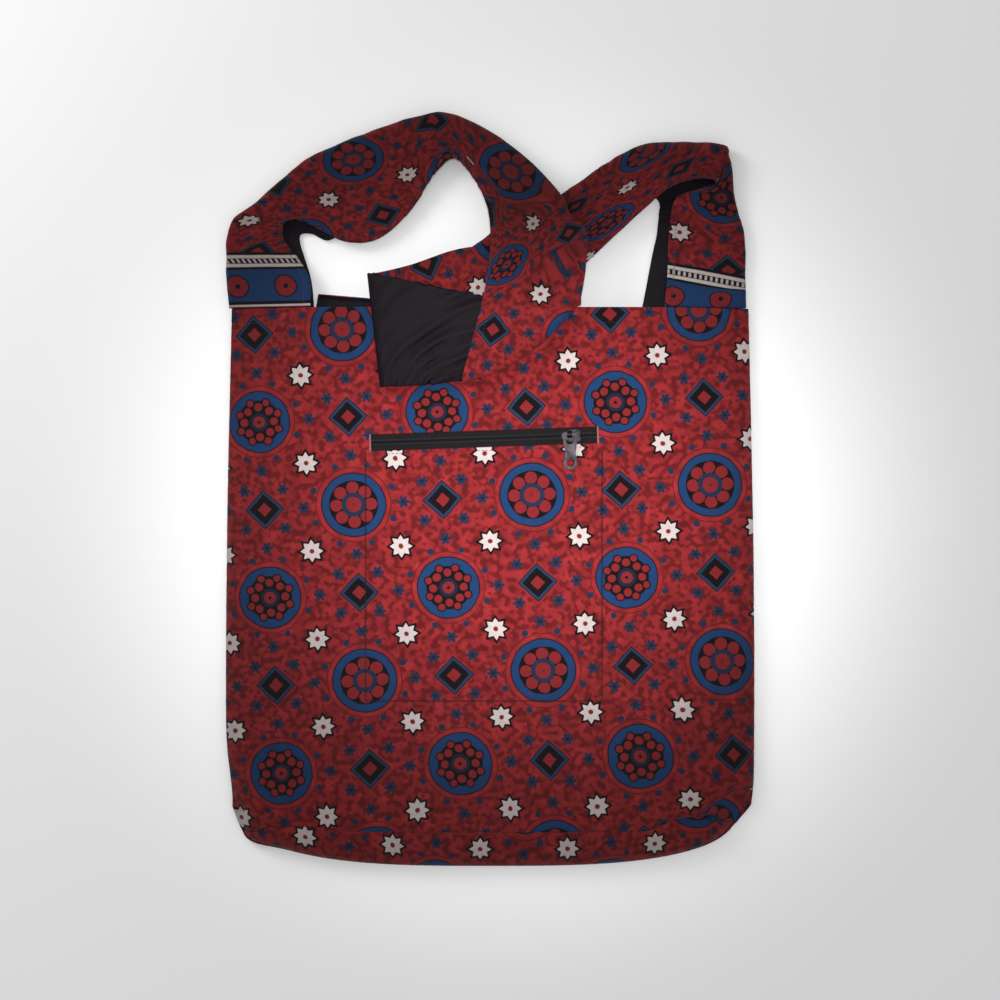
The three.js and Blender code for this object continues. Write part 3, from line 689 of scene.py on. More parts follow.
def back_panel(material):
    """The back, whose upper edge steps up beside the strap's left end."""
    step_up = np.array([-2, -1.4, -0.7, 0]) + BACK.raised_from
    shares = column_shares(step_up / BAG.mouth_half, 110)
    nominal = shares * BAG.mouth_half
    down = np.linspace(0, 1, 120)[:, None]
    ys = mix(back_top_y(nominal), bottom_y(nominal), down)
    points = plan_points(shares, ys, back_height)
    cut = lattice_cut(points[..., 0] + BACK_PRINT[0], points[..., 1] + BACK_PRINT[1])
    inside = rounded_off("back", half_width(ys) - np.abs(points[..., 0]))
    return cloth_wall("printed_back", points, CLOTH, inside, material, cut=cut)


# The row of stars along the gusset: its middle one, its slope, its bow, how far it drops past its
# left end, and where and how far the cloth is taken into the seam above it.
GUSSET_ROW = Sizes(
    x=-7.2, y=-260.6, slope=-0.015, bow=0.0004, end=-142, drop=5, drop_run=14,
    taken_at=22, taken_in=3.0, taken_high=7, taken_wide=26,
)


def base_gusset(material):
    """The strip under the base seam, which turns down to the bag's lower outline."""
    reach = GUSSET.half / BAG.mouth_half
    shares = np.linspace(-reach, reach, 190)
    nominal = shares * BAG.mouth_half
    top = np.maximum(seam_y(nominal) - SEAM_GAP / 2, bottom_y(nominal) + GUSSET.tip)
    ys = mix(top, bottom_y(nominal), GUSSET_SHARES[:, None])

    def height(x, y):
        plain = np.minimum(plain_front(x, y), plain_front(x, seam_y(x)))
        relief = front_relief(x, np.maximum(y, seam_y(x) - GUSSET.relief_reach))
        return plain + relief * smooth((y - bottom_y(x)) / GUSSET.relief_run)

    points = plan_points(shares, ys, height)
    x, y = points[..., 0], points[..., 1]
    below_seam = seam_y(x) - y
    outside = -rounded_off("seam", below_seam)
    star_y = GUSSET_ROW.y + GUSSET_ROW.slope * x + GUSSET_ROW.bow * x**2
    star_y -= GUSSET_ROW.drop * smooth((GUSSET_ROW.end - x) / GUSSET_ROW.drop_run)
    taken = GUSSET_ROW.taken_in * hollow(below_seam, GUSSET_ROW.taken_high)
    star_y += taken * hollow(x - GUSSET_ROW.taken_at, GUSSET_ROW.taken_wide)
    cut = np.stack([x - GUSSET_ROW.x, y - star_y], axis=-1) + REPEAT / 4
    return cloth_wall("printed_base", points, outside, -CLOTH, material, cut=cut)


lining_crumple = ripples(41, 10, 30)


def lining(name, top_edge, height, outside, inside, material, extra=()):
    """A lining sheet, set in from the bag's outline and hanging from its own upper edge."""
    inset = 1 - LINER.inset / half_width(0)
    shares = np.unique(np.concatenate([np.linspace(-inset, inset, 90), extra]))
    nominal = shares * BAG.mouth_half
    ys = mix(top_edge(nominal), bottom_y(nominal) + LINER.inset, np.linspace(0, 1, 100)[:, None])
    points = plan_points(shares, ys, height)
    return cloth_wall(name, points, outside, inside, material, cut=points[..., :2])


def front_lining(material):
    """The lining behind the front, which rises to the front's edge at the mouth."""
    def height(x, y):
        near_mouth = smooth((y - LINER.mouth_from) / LINER.mouth_run)
        top = mix(LINER.front_height, BAG.thickness, near_mouth)
        own = pillow_height(x, y, top, LINER.front_rim, LINER.inset)
        loose = LOOSE.front * lining_crumple(x, y) * (1 - near_mouth)
        loose = loose * smooth((own - LOOSE.front_from) / LOOSE.front_run)
        return np.minimum(own + loose, front_height(x, y) - LINER.under_panel)

    def top(x):
        return np.full_like(x, BAG.mouth_y - LINER.mouth_drop)

    return lining("front_lining_cloth", top, height, 0, -LINING, material)


def back_lining(material):
    """The lining on the back, which shows above the front's edge in the mouth."""
    def height(x, y):
        loose = LOOSE.back * (1 + lining_crumple(x + LOOSE.moved, y))
        loose = loose * smooth((LOOSE.back_half - np.abs(x)) / LOOSE.back_run)
        near_mouth = smooth((y - LOOSE.back_mouth) / LOOSE.back_mouth_run)
        loose = loose * mix(LOOSE.back_below, 1, near_mouth)
        return back_height(x, y) + LINER.back_height + loose

    def top(x):
        return back_top_y(x) - LINER.mouth_drop

    step_up = np.array([-2, -1, 0]) + BACK.raised_from
    return lining("back_lining_cloth", top, height, LINING, 0, material, step_up / BAG.mouth_half)


# Strap


def curve_through(points, places):
    """A centripetal Catmull-Rom curve, at places counted in points from the first one."""
    points = np.asarray(points, float)
    ends = np.vstack([2 * points[0] - points[1], points, 2 * points[-1] - points[-2]])
    index = np.minimum(places.astype(int), len(points) - 2)
    share = (places - index)[:, None]
    p0, p1, p2, p3 = (ends[index + k] for k in range(4))
    d0, d1, d2 = (np.linalg.norm(b - a, axis=1, keepdims=True) ** 0.5
                  for a, b in ((p0, p1), (p1, p2), (p2, p3)))
    m1 = ((p1 - p0) / d0 - (p2 - p0) / (d0 + d1) + (p2 - p1) / d1) * d1
    m2 = ((p2 - p1) / d1 - (p3 - p1) / (d1 + d2) + (p3 - p2) / d2) * d1
    square, cube = -3 * p1 + 3 * p2 - 2 * m1 - m2, 2 * p1 - 2 * p2 + m1 + m2
    return p1 + m1 * share + square * share**2 + cube * share**3


# Columns across the strap: shares of its front part, of the bend and of its back part.
EDGE_SHARES = np.array([0, 0.012, 0.03, 0.055, 0.075, 0.09, 0.105, 0.13, 0.165])
FRONT_SHARES = np.concatenate([EDGE_SHARES, np.linspace(0.21, 0.97, 20)])
BEND_SHARES = np.linspace(0, 1, 11)
BACK_SHARES = np.concatenate([np.linspace(0.06, 0.79, 14), (1 - EDGE_SHARES)[::-1]])
STITCH_SHARE = 0.09

# For each column, its share of the way from the nearer sewn edge to the crease, and how far it has
# turned behind the crease.
COLUMN_SHARES = np.concatenate([FRONT_SHARES, np.ones(len(BEND_SHARES)), 1 - BACK_SHARES])
TURNED_SHARES = np.concatenate([np.zeros(len(FRONT_SHARES)), BEND_SHARES, np.ones(len(BACK_SHARES))])


def strap_places():
    """Sections along the strap, about one cell apart, counted in rows of its table."""
    columns = np.array([[row.hem, row.crease, row.back] for row in STRAP_ROWS], float)
    spans = np.linalg.norm(np.diff(columns, axis=0), axis=2).max(axis=1)
    counts = np.maximum(STRAP.least_cells, np.ceil(spans / STRAP.cell)).astype(int)
    steps = [row + np.arange(count) / count for row, count in enumerate(counts)]
    return np.concatenate(steps + [[len(counts)]])


def strap_section(hem, crease, back, fold):
    """Rows of points across the strap: the front part, the crease, and the back part."""
    out = crease - hem
    out = (out / np.linalg.norm(out, axis=1, keepdims=True))[:, None]
    flat = back - crease
    flat = flat / np.linalg.norm(flat, axis=1, keepdims=True) * STRAP.bend_flat / 2
    under = np.zeros_like(flat)
    under[:, 2] = (back - crease)[:, 2]
    fold = fold[:, None]
    turn = mix(flat, under, fold)
    far = crease + turn
    bulge = (np.linalg.norm(turn, axis=1, keepdims=True) / 2 * fold)[:, None]
    hem, crease, back, far = (part[:, None] for part in (hem, crease, back, far))
    share = BEND_SHARES[None, :, None]
    turned = mix(share, (1 - np.cos(share * math.pi)) / 2, fold[:, None])
    bend = mix(crease, far, turned) + out * np.sin(share * math.pi) * bulge
    front = mix(hem, crease, FRONT_SHARES[None, :, None])
    rear = mix(far, back, BACK_SHARES[None, :, None])
    return np.concatenate([front, bend, rear], axis=1)


strap_crumple = ripples(53, 12, 30)
strap_pucker = ripples(59, 10, 12, heading=90, spread=0.5)
edge_pucker = ripples(71, 5, 7, heading=90, spread=0.1)
loop_gather = ripples(61, 6, 10, heading=90, spread=0.25)
turn_wrinkle = ripples(67, 7, 13, heading=55, spread=0.35)

# How high the strap's unevenness stands, and what share of it is left in the pile and behind the
# crease. The hem's puckers reach a share of the way to the crease.
STRAP_RELIEF = Sizes(
    crumple=0.7, pucker=0.25, hem=0.3, hem_turned=0.6, hem_reach=0.11, in_pile=0.12, behind=0.12,
)

# Gathers just before the loop's peak and wrinkles just past the turn, placed in rows of the table.
GATHERS = Sizes(high=1.5, before=0.4, reach=1.9, across=0.55)
WRINKLES = Sizes(past=0.3, reach=0.75)

# The strap's outer face along its sewn edges: a raised hem, a sunk stitch line, a rounded edge. All
# widths are shares of the way to the crease.
STRAP_EDGE = Sizes(
    hem=0.2, hem_past=0.01, hem_run=0.02, line=0.3, line_wide=0.016, rounded=0.45, rounded_run=0.03,
)

# The sharp turn down at the right: a lip, a drop beside it, and how far each is from the fold.
RIGHT_TURN = Sizes(past_elbow=0.3, lip=1.1, drop=1.9, away=1.9)

# The first fold is not straight: its middle hangs out this far.
FOLD_BULGE = Sizes(shift=(4.8, -7.2), reach=24)


def strap_relief(places, fold, w, s):
    """How far the strap's cloth stands off its plain surface: crumples, gathers and wrinkles."""
    piled = smooth(places - ROW_NAMED["loop fall"]) * smooth(ROW_NAMED["right strap"] - places)
    loose = mix(1, STRAP_RELIEF.in_pile, piled)[:, None]
    off_ends = (smooth(places / 2) * smooth((ROW_NAMED["right base"] - places) / 2))[:, None]
    peak = hollow(places - ROW_NAMED["loop peak"] + GATHERS.before, GATHERS.reach)[:, None]
    turned = hollow(places - ROW_NAMED["turned over"] - WRINKLES.past, WRINKLES.reach)[:, None]
    crumpled = STRAP_RELIEF.crumple * strap_crumple(w, s)
    relief = (crumpled + STRAP_RELIEF.pucker * strap_pucker(w, s)) * loose * off_ends
    gathered = GATHERS.high * loop_gather(w, s) * peak
    relief = relief + gathered * hollow(COLUMN_SHARES, GATHERS.across)[None]
    relief = relief + turn_wrinkle(w, s) * turned
    away = RIGHT_TURN.away
    from_turn = s - np.interp(ROW_NAMED["right elbow"] + RIGHT_TURN.past_elbow, places, s[:, 0])
    relief = relief + RIGHT_TURN.lip * hollow(from_turn + away, away)
    relief = relief - RIGHT_TURN.drop * hollow(from_turn - away, away)
    hem = STRAP_RELIEF.hem * loose + STRAP_RELIEF.hem_turned * turned
    near_hem = hollow(COLUMN_SHARES, STRAP_RELIEF.hem_reach)[None] * off_ends
    relief = relief + hem * edge_pucker(w, s) * near_hem
    return relief * mix(1, STRAP_RELIEF.behind, TURNED_SHARES * fold[:, None])


def first_fold_shift(places, s):
    """How far the strap's points are moved where the first fold hangs out."""
    fold_line = s[np.argmin(np.abs(places - ROW_NAMED["first fold"])), 0]
    on_front = np.arange(len(COLUMN_SHARES)) < len(FRONT_SHARES)
    bow = np.where(on_front, 4 * COLUMN_SHARES * (1 - COLUMN_SHARES), 0)
    hung = hollow(s - fold_line, FOLD_BULGE.reach) * bow
    return hung[..., None] * np.array([*FOLD_BULGE.shift, 0])


def strap_grid():
    """The surface between the strap's cloth and its lining, and its place on the flat cloth."""
    places = strap_places()
    hem, crease, back = (
        curve_through(line, places)
        for line in zip(*((row.hem, row.crease, row.back) for row in STRAP_ROWS)))
    row = np.minimum(places.astype(int), len(STRAP_ROWS) - 2)
    folds = np.array([r.fold for r in STRAP_ROWS], float)
    fold = mix(folds[row], folds[row + 1], smooth(places - row))
    points = strap_section(hem, crease, back, fold)
    across = np.linalg.norm(np.diff(points, axis=1), axis=2)
    w = np.concatenate([np.zeros((len(points), 1)), np.cumsum(across, axis=1)], axis=1)
    steps = np.linalg.norm(np.diff((hem + crease) / 2, axis=0), axis=1)
    s = np.broadcast_to(np.concatenate([[0], np.cumsum(steps)])[:, None], w.shape)
    points = points + first_fold_shift(places, s)
    relief = strap_relief(places, fold, w, s)
    return points + grid_normals(points) * relief[..., None], w, s


def edge_finish():
    """How far the strap's outer face stands off along its two sewn edges."""
    to_hem = STITCH_SHARE + STRAP_EDGE.hem_past - COLUMN_SHARES
    hem = STRAP_EDGE.hem * smooth(to_hem / STRAP_EDGE.hem_run)
    line = -STRAP_EDGE.line * hollow(COLUMN_SHARES - STITCH_SHARE, STRAP_EDGE.line_wide)
    edge = rise(COLUMN_SHARES / STRAP_EDGE.rounded_run, 2)
    return hem + line - STRAP_EDGE.rounded * (1 - edge)


# How the print lies on the strap, between two lengths along it: one motif's place on the bag and
# its number in the print, counted in half repeats, and the steps to the next ones on the bag.
STRAP_PRINT = named(
    ("start", "end", "at", "motif", "across", "along"),
    (-1, 46, (-169.1, 173.3), (0, -5), (-58, 0), (0, 44)),
    (72, 184, (-99.4, 239.9), (1, -3), (-21.6, 40.2), (57.6, 18)),
    (206, 220, (-41.1, 267.9), (1, -2), (-15.6, 40), (57, -5)),
    (244, 291, (15.3, 229.1), (1, -1), (26, 44.8), (57.8, -36.8)),
    (304, 309, (31, 190.5), (0.5, -0.5), (40, 23), (11.8, -47)),
    (325, 334, (11.6, 161.2), (0, 0), (46, 23), (-6.5, -38)),
    (352, 393, (2, 114.7), (0, 1), (59.4, -6.2), (-9.1, -57.2)),
    (540, 605, (-46.6, 163.1), (1, 4), (-20.8, 55.6), (55.6, 20.8)),
    (655, 776, (99.7, 219.2), (0.5, 6.5), (-23, 11.7), (53.3, 39.8)),
    (808, 920, (138, 187.3), (-0.5, 8.5), (65.1, -2.8), (5.3, -53.1)),
)

# A pleat beside the hem, from the loop's peak downward, hides some of the print.
HEM_PLEAT = Sizes(at=252, reach=40, share=0.28, width=0.14, hidden=30)


def strap_cut(points, w, s):
    """The strap's place on the printed cloth.

    The print is laid in patches. Between two patches, and behind the crease, it runs straight on.
    """
    crease = len(FRONT_SHARES)
    along = s[:, 0]
    cut = np.zeros(w.shape + (2,))
    done = np.zeros(len(along), bool)
    for patch in STRAP_PRINT:
        here = (along >= patch.start) & (along <= patch.end)
        steps = np.array([patch.across, patch.along]).T
        offset = points[here][..., :2] - patch.at
        cut[here] = (offset @ np.linalg.inv(steps).T + patch.motif) * REPEAT / 2
        done |= here
    for column in range(crease + 1):
        for axis in range(2):
            cut[:, column, axis] = np.interp(along, along[done], cut[done, column, axis])
    past = smooth((HEM_PLEAT.share - FRONT_SHARES) / HEM_PLEAT.width + 0.5)
    pleat = hollow(along - HEM_PLEAT.at, HEM_PLEAT.reach)
    cut[:, :crease, 0] -= HEM_PLEAT.hidden * past * pleat[:, None]
    behind = np.zeros_like(cut[:, crease:])
    behind[..., 0] = w[:, crease:] - w[:, crease : crease + 1]
    cut[:, crease:] = cut[:, crease : crease + 1] + behind
    return cut


# The border was cut slanting and shorter at the right end, where its discs also sit elsewhere.
RIGHT_END = Sizes(
    trim=7.4, slant=0.21, slant_to=62, slant_from=7, slant_run=8, slant_least=0.2, shift=12.5,
)


def strap_border(w, s):
    """Places across the strap and from its nearer end."""
    from_end = s[-1, 0] - s
    begun = smooth((from_end - RIGHT_END.slant_from) / RIGHT_END.slant_run)
    slant = RIGHT_END.slant * np.minimum(w, RIGHT_END.slant_to)
    right = from_end + RIGHT_END.trim + slant * mix(RIGHT_END.slant_least, 1, begun)
    at_right = s > s[-1, 0] / 2
    return np.stack([w + RIGHT_END.shift * at_right, np.where(at_right, right, s)], axis=-1)


# Zip


def zip_tape(name, side, material):
    """One tape, ribbed along its length, on its own side of the zip's middle."""
    along = np.linspace(-ZIP.tape_length / 2, ZIP.tape_length / 2, 150)[:, None]
    across = side * np.linspace(ZIP.half_gap, ZIP.tape_outer, 34)[None]
    ribs = TAPE_RIB.high * np.cos(2 * math.pi * across / TAPE_RIB.pitch)
    points = from_zip(along[::side], across, ZIP.tape_z + ZIP.tape_thick + ribs)
    cut = np.stack(np.broadcast_arrays(along, across), axis=-1)
    return cloth_wall(name, points[:, ::-1], 0, -ZIP.tape_thick, material, cut=cut)


# Sewing and coil: one tree that sets small rounded pieces along lines


# One bead, before it is sized
BEAD = dict(Segments=8, Rings=5, Radius=0.5)


def beads_tree():
    """Rounded pieces at even steps along lines, their long side turned from the line."""
    tree = bpy.data.node_groups.new("Beads along lines", "GeometryNodeTree")
    face = tree.interface
    face.new_socket("Geometry", in_out="INPUT", socket_type="NodeSocketGeometry")
    for name in ("Pitch", "Long", "Wide", "High", "Turn"):
        face.new_socket(name, in_out="INPUT", socket_type="NodeSocketFloat")
    face.new_socket("Material", in_out="INPUT", socket_type="NodeSocketMaterial")
    face.new_socket("Geometry", in_out="OUTPUT", socket_type="NodeSocketGeometry")

    def node(kind, **inputs):
        made = tree.nodes.new(kind)
        for name, source in inputs.items():
            tree.links.new(source, made.inputs[name.replace("_", " ")])
        return made

    given, result = node("NodeGroupInput"), node("NodeGroupOutput")
    value = given.outputs
    curve = node("GeometryNodeMeshToCurve", Mesh=value["Geometry"])
    steps = node("GeometryNodeResampleCurve", Curve=curve.outputs["Curve"])
    steps.mode = "LENGTH"
    tree.links.new(value["Pitch"], steps.inputs["Length"])
    bead = node("GeometryNodeMeshUVSphere")
    for name, amount in BEAD.items():
        bead.inputs[name].default_value = amount
    size = node("ShaderNodeCombineXYZ", X=value["Long"], Y=value["Wide"], Z=value["High"])
    tangent = node("GeometryNodeInputTangent")
    align = node("FunctionNodeAlignRotationToVector", Vector=tangent.outputs["Tangent"])
    align.axis = "X"
    angle = node("ShaderNodeCombineXYZ", Z=value["Turn"])
    euler = node("FunctionNodeEulerToRotation", Euler=angle.outputs["Vector"])
    turn = node("FunctionNodeRotateRotation", Rotation=align.outputs["Rotation"],
                Rotate_By=euler.outputs["Rotation"])
    turn.rotation_space = "LOCAL"
    place = node("GeometryNodeInstanceOnPoints", Points=steps.outputs["Curve"],
                 Instance=bead.outputs["Mesh"], Rotation=turn.outputs["Rotation"],
                 Scale=size.outputs["Vector"])
    real = node("GeometryNodeRealizeInstances", Geometry=place.outputs["Instances"])
    shade = node("GeometryNodeSetShadeSmooth", Geometry=real.outputs["Geometry"])
    paint = node("GeometryNodeSetMaterial", Geometry=shade.outputs["Geometry"],
                 Material=value["Material"])
    tree.links.new(paint.outputs["Geometry"], result.inputs["Geometry"])
    return tree


def beads_along(name, lines, material, tree, pitch, long, wide, high, turn=0):
    """One mesh of beads set along lines. Each line is a row of points."""
    points = np.vstack(lines)
    ends = np.cumsum([len(line) for line in lines])
    edges = [(i, i + 1) for i in range(len(points) - 1) if i + 1 not in ends]
    mesh = bpy.data.meshes.new(name)
    mesh.from_pydata((points * MM).tolist(), edges, [])
    made = new_object(name, mesh)
    modifier = made.modifiers.new("Beads", "NODES")
    modifier.node_group = tree
    sockets = {i.name: i.identifier for i in tree.interface.items_tree if i.in_out == "INPUT"}
    values = dict(Pitch=pitch * MM, Long=long * MM, Wide=wide * MM, High=high * MM, Turn=turn,
                  Material=material)
    for socket, value in values.items():
        modifier[sockets[socket]] = value
    return settled(made, name)


def on_front(x, y, lift):
    """Points on the front panel's outer face."""
    x, y = np.broadcast_arrays(np.asarray(x, float), np.asarray(y, float))
    return np.stack([x, y, front_height(x, y) + front_finish(x, y) + lift], axis=-1)


def front_stitch_lines():
    """The hem's line, both lines beside the slit, and three sides of the pocket."""
    lift = STITCH.thick * STITCH.raised
    reach = half_width(BAG.mouth_y - HEM) - STITCH.off_side
    lines = [on_front(np.linspace(-reach, reach, 260), BAG.mouth_y - HEM, lift)]
    slot_x = ZIP.slot_length / 2 + STITCH.past_slit
    slot_y = ZIP.slot_width / 2 + STITCH.beside_slit
    for side in (-1, 1):
        run = from_zip(np.linspace(-slot_x, slot_x, 120), side * slot_y, 0.0)
        lines.append(on_front(run[:, 0], run[:, 1], lift))
    down = np.linspace(ZIP.y - POCKET.under_zip, POCKET.bottom, 140)
    for x in (POCKET.left, POCKET.right):
        lines.append(on_front(x, down, lift))
    lines.append(on_front(np.linspace(POCKET.left, POCKET.right, 120), POCKET.bottom, lift))
    return lines


def strap_stitch_lines(points):
    """Lines along both sewn edges, on the cloth's outer face."""
    normals = grid_normals(points)
    lift = STRAP.cloth_out - STITCH.strap_sunk
    first = int(np.argmin(np.abs(FRONT_SHARES - STITCH_SHARE)))
    last = points.shape[1] - 1 - first
    return [points[:, column] + normals[:, column] * lift for column in (first, last)]


def bar_tack_lines():
    """A short line across each end of the slit."""
    lines = []
    for side in (-1, 1):
        across = np.linspace(-ZIP.slot_width / 2, ZIP.slot_width / 2, 20)
        run = from_zip(side * (ZIP.slot_length / 2 + TACK.past_slit), across, 0.0)
        lines.append(on_front(run[:, 0], run[:, 1], TACK.lift))
    return lines


def coil_lines(side):
    """The middle line of one coil row. The lower row stands half a step on, between the upper's."""
    reach = ZIP.slot_length / 2 - 1
    middle = side * (ZIP.half_gap + ZIP.teeth_outer) / 2
    z = ZIP.teeth_z + ZIP.teeth_high / 2
    start = -reach if side > 0 else -reach + COIL.pitch / 2
    return [from_zip(np.linspace(start, reach, 40), middle, z)]


# Slider and puller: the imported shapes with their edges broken


def bevelled_copy(name, node, width, material):
    """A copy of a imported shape, its flat faces joined and its edges broken."""
    mesh = frame["nodes"][node].data.copy()
    mesh.name = name
    mesh.materials.clear()
    shape = bmesh.new()
    shape.from_mesh(mesh)
    bmesh.ops.remove_doubles(shape, verts=shape.verts, dist=2e-6)
    bmesh.ops.dissolve_limit(shape, angle_limit=math.radians(1), verts=shape.verts, edges=shape.edges)
    shape.to_mesh(mesh)
    shape.free()
    made = new_object(name, mesh, material)
    bevel = made.modifiers.new("Broken edges", "BEVEL")
    bevel.width = width * MM
    bevel.segments = BROKEN_EDGE.segments
    bevel.limit_method = "ANGLE"
    bevel.angle_limit = math.radians(BROKEN_EDGE.angle)
    bevel.harden_normals = False
    settled(made, name)
    made.data.shade_smooth()
    made.data.set_sharp_from_angle(angle=math.radians(BROKEN_EDGE.sharp_from))
    return made


# Shader arithmetic


def linear(*rgb):
    """A colour from 0 to 255 as it looks, turned into the renderer's linear numbers."""
    shares = [value / 255 for value in rgb]
    return tuple(v / 12.92 if v <= 0.04045 else ((v + 0.055) / 1.055) ** 2.4 for v in shares) + (1,)


class Wire:
    """A number in a node tree. Arithmetic on it adds Math nodes."""

    def __init__(self, tree, socket):
        self.tree, self.socket = tree, socket

    def math(self, operation, *others, clamp=False):
        node = self.tree.nodes.new("ShaderNodeMath")
        node.operation = operation
        node.use_clamp = clamp
        for slot, value in zip(node.inputs, (self, *others)):
            if isinstance(value, Wire):
                self.tree.links.new(value.socket, slot)
            else:
                slot.default_value = value
        return Wire(self.tree, node.outputs[0])

    def __add__(self, other):
        return self.math("ADD", other)

    def __sub__(self, other):
        return self.math("SUBTRACT", other)

    def __mul__(self, other):
        return self.math("MULTIPLY", other)

    def __truediv__(self, other):
        return self.math("DIVIDE", other)

    def __neg__(self):
        return self.math("MULTIPLY", -1.0)

    def __abs__(self):
        return self.math("ABSOLUTE")

    def __round__(self):
        return self.math("ROUND")

    def part(self):
        """What is over a whole number."""
        return self.math("FRACT")

    def least(self, other):
        return self.math("MINIMUM", other)

    def most(self, other):
        return self.math("MAXIMUM", other)

    def wrapped(self, low, high):
        """The number brought between two others by whole steps."""
        return self.math("WRAP", high, low)

    def length_with(self, other):
        return (self * self + other * other).math("SQRT")

    def under(self, limit, blur=0.35):
        """1 where the number is under a limit and 0 over it, with a soft edge."""
        if isinstance(limit, Wire):
            return (limit - self).math("MULTIPLY_ADD", 1 / blur, 0.5, clamp=True)
        return self.math("MULTIPLY_ADD", -1 / blur, limit / blur + 0.5, clamp=True)

    def within(self, low, high, blur=0.35):
        """1 between two limits and 0 outside them, with soft edges."""
        return abs(self - (low + high) / 2).under((high - low) / 2, blur)

    def outside(self):
        """The rest of a mask."""
        return self.math("MULTIPLY_ADD", -1.0, 1.0)


def node_group(name, inputs, outputs):
    """An empty shader group with its sockets, and its input and output nodes."""
    tree = bpy.data.node_groups.new(name, "ShaderNodeTree")
    for socket, kind, value in inputs:
        made = tree.interface.new_socket(socket, in_out="INPUT", socket_type=kind)
        if value is not None:
            made.default_value = value
    for socket, kind in outputs:
        tree.interface.new_socket(socket, in_out="OUTPUT", socket_type=kind)
    return tree, tree.nodes.new("NodeGroupInput"), tree.nodes.new("NodeGroupOutput")


def scaled(tree, vector, factor):
    """A vector times a number."""
    node = tree.nodes.new("ShaderNodeVectorMath")
    node.operation = "SCALE"
    node.inputs["Scale"].default_value = factor
    tree.links.new(vector, node.inputs[0])
    return node.outputs["Vector"]


def split(tree, vector):
    """The three numbers of a vector."""
    node = tree.nodes.new("ShaderNodeSeparateXYZ")
    tree.links.new(vector, node.inputs[0])
    return [Wire(tree, output) for output in node.outputs]


def noise(tree, vector, scale, detail=2.0, roughness=0.5):
    """Noise as a number and as a colour."""
    node = tree.nodes.new("ShaderNodeTexNoise")
    node.inputs["Scale"].default_value = scale
    node.inputs["Detail"].default_value = detail
    node.inputs["Roughness"].default_value = roughness
    tree.links.new(vector, node.inputs["Vector"])
    return Wire(tree, node.outputs[0]), node.outputs["Color"]


def blend(tree, share, under, over, kind="MIX"):
    """Over laid on under by a share. Each is a colour or a colour socket."""
    node = tree.nodes.new("ShaderNodeMix")
    node.data_type = "RGBA"
    node.blend_type = kind
    socket = {s.identifier: s for s in node.inputs}
    for slot, value in (("Factor_Float", share), ("A_Color", under), ("B_Color", over)):
        if isinstance(value, Wire):
            tree.links.new(value.socket, socket[slot])
        elif isinstance(value, bpy.types.NodeSocket):
            tree.links.new(value, socket[slot])
        else:
            socket[slot].default_value = value
    return {s.identifier: s for s in node.outputs}["Result_Color"]


# Dyes of the print, as they look in even light

DYE = dict(
    red=linear(117, 28, 31),
    dark_red=linear(87, 18, 21),
    bright_red=linear(158, 43, 46),
    petal=linear(128, 34, 38),
    blue=linear(27, 58, 101),
    slate=linear(34, 42, 66),
    edge_blue=linear(35, 54, 82),
    black=linear(17, 10, 13),
    white=linear(203, 189, 186),
    star_dot=linear(114, 36, 42),
)

# The print's motifs, in millimetres from their middles

ROUNDEL = Sizes(
    outline=23.2, ring=22.4, hole=17.4, halo=26.2, halo_line=27.0,
    dots_at=29.8, dot=2.3, second_smaller=0.035,
    petals_at=12.3, petal=4.35, inner_ring=8.8, heart=5.5, eye=1.2, eye_first=0.3,
    hole_2=16.2, beads_at=11.2, bead=2.95, outer_at=15.3, outer=2.5, rim=0.95, heart_2=4.4,
    ring_2=6.9, ring_2_strength=0.6,
)
DIAMOND = Sizes(outline=14.3, edge=13.5, black=10.9, heart=5.1, clear=1.6)
STAR = Sizes(outline=10.7, white=8.0, notch=0.53, dot=1.75)
FLOWER = Sizes(spacing=0.22, petals=6.0, size=3.7, lobes=0.9, eye=1.2, eye_strength=0.6)

# How soft the edges of the dyes are: hard ones, sharp ones and those that have bled
HARD = 0.0001
SHARP = 0.5
BLED = 0.6

# Unevenness of the printing: the scales of the noise, the patches' limit and soft edge, how far the
# clouds' tones are spread, how strong the dark dye is, and how far lines wander.
PRINTING = Sizes(
    patch_scale=0.21, patch_detail=0.6, patch_limit=0.47, patch_soft=0.15, cloud_scale=0.1,
    cloud_spread=2.4, strength=0.8, wander_scale=0.09, wander=1.6,
)


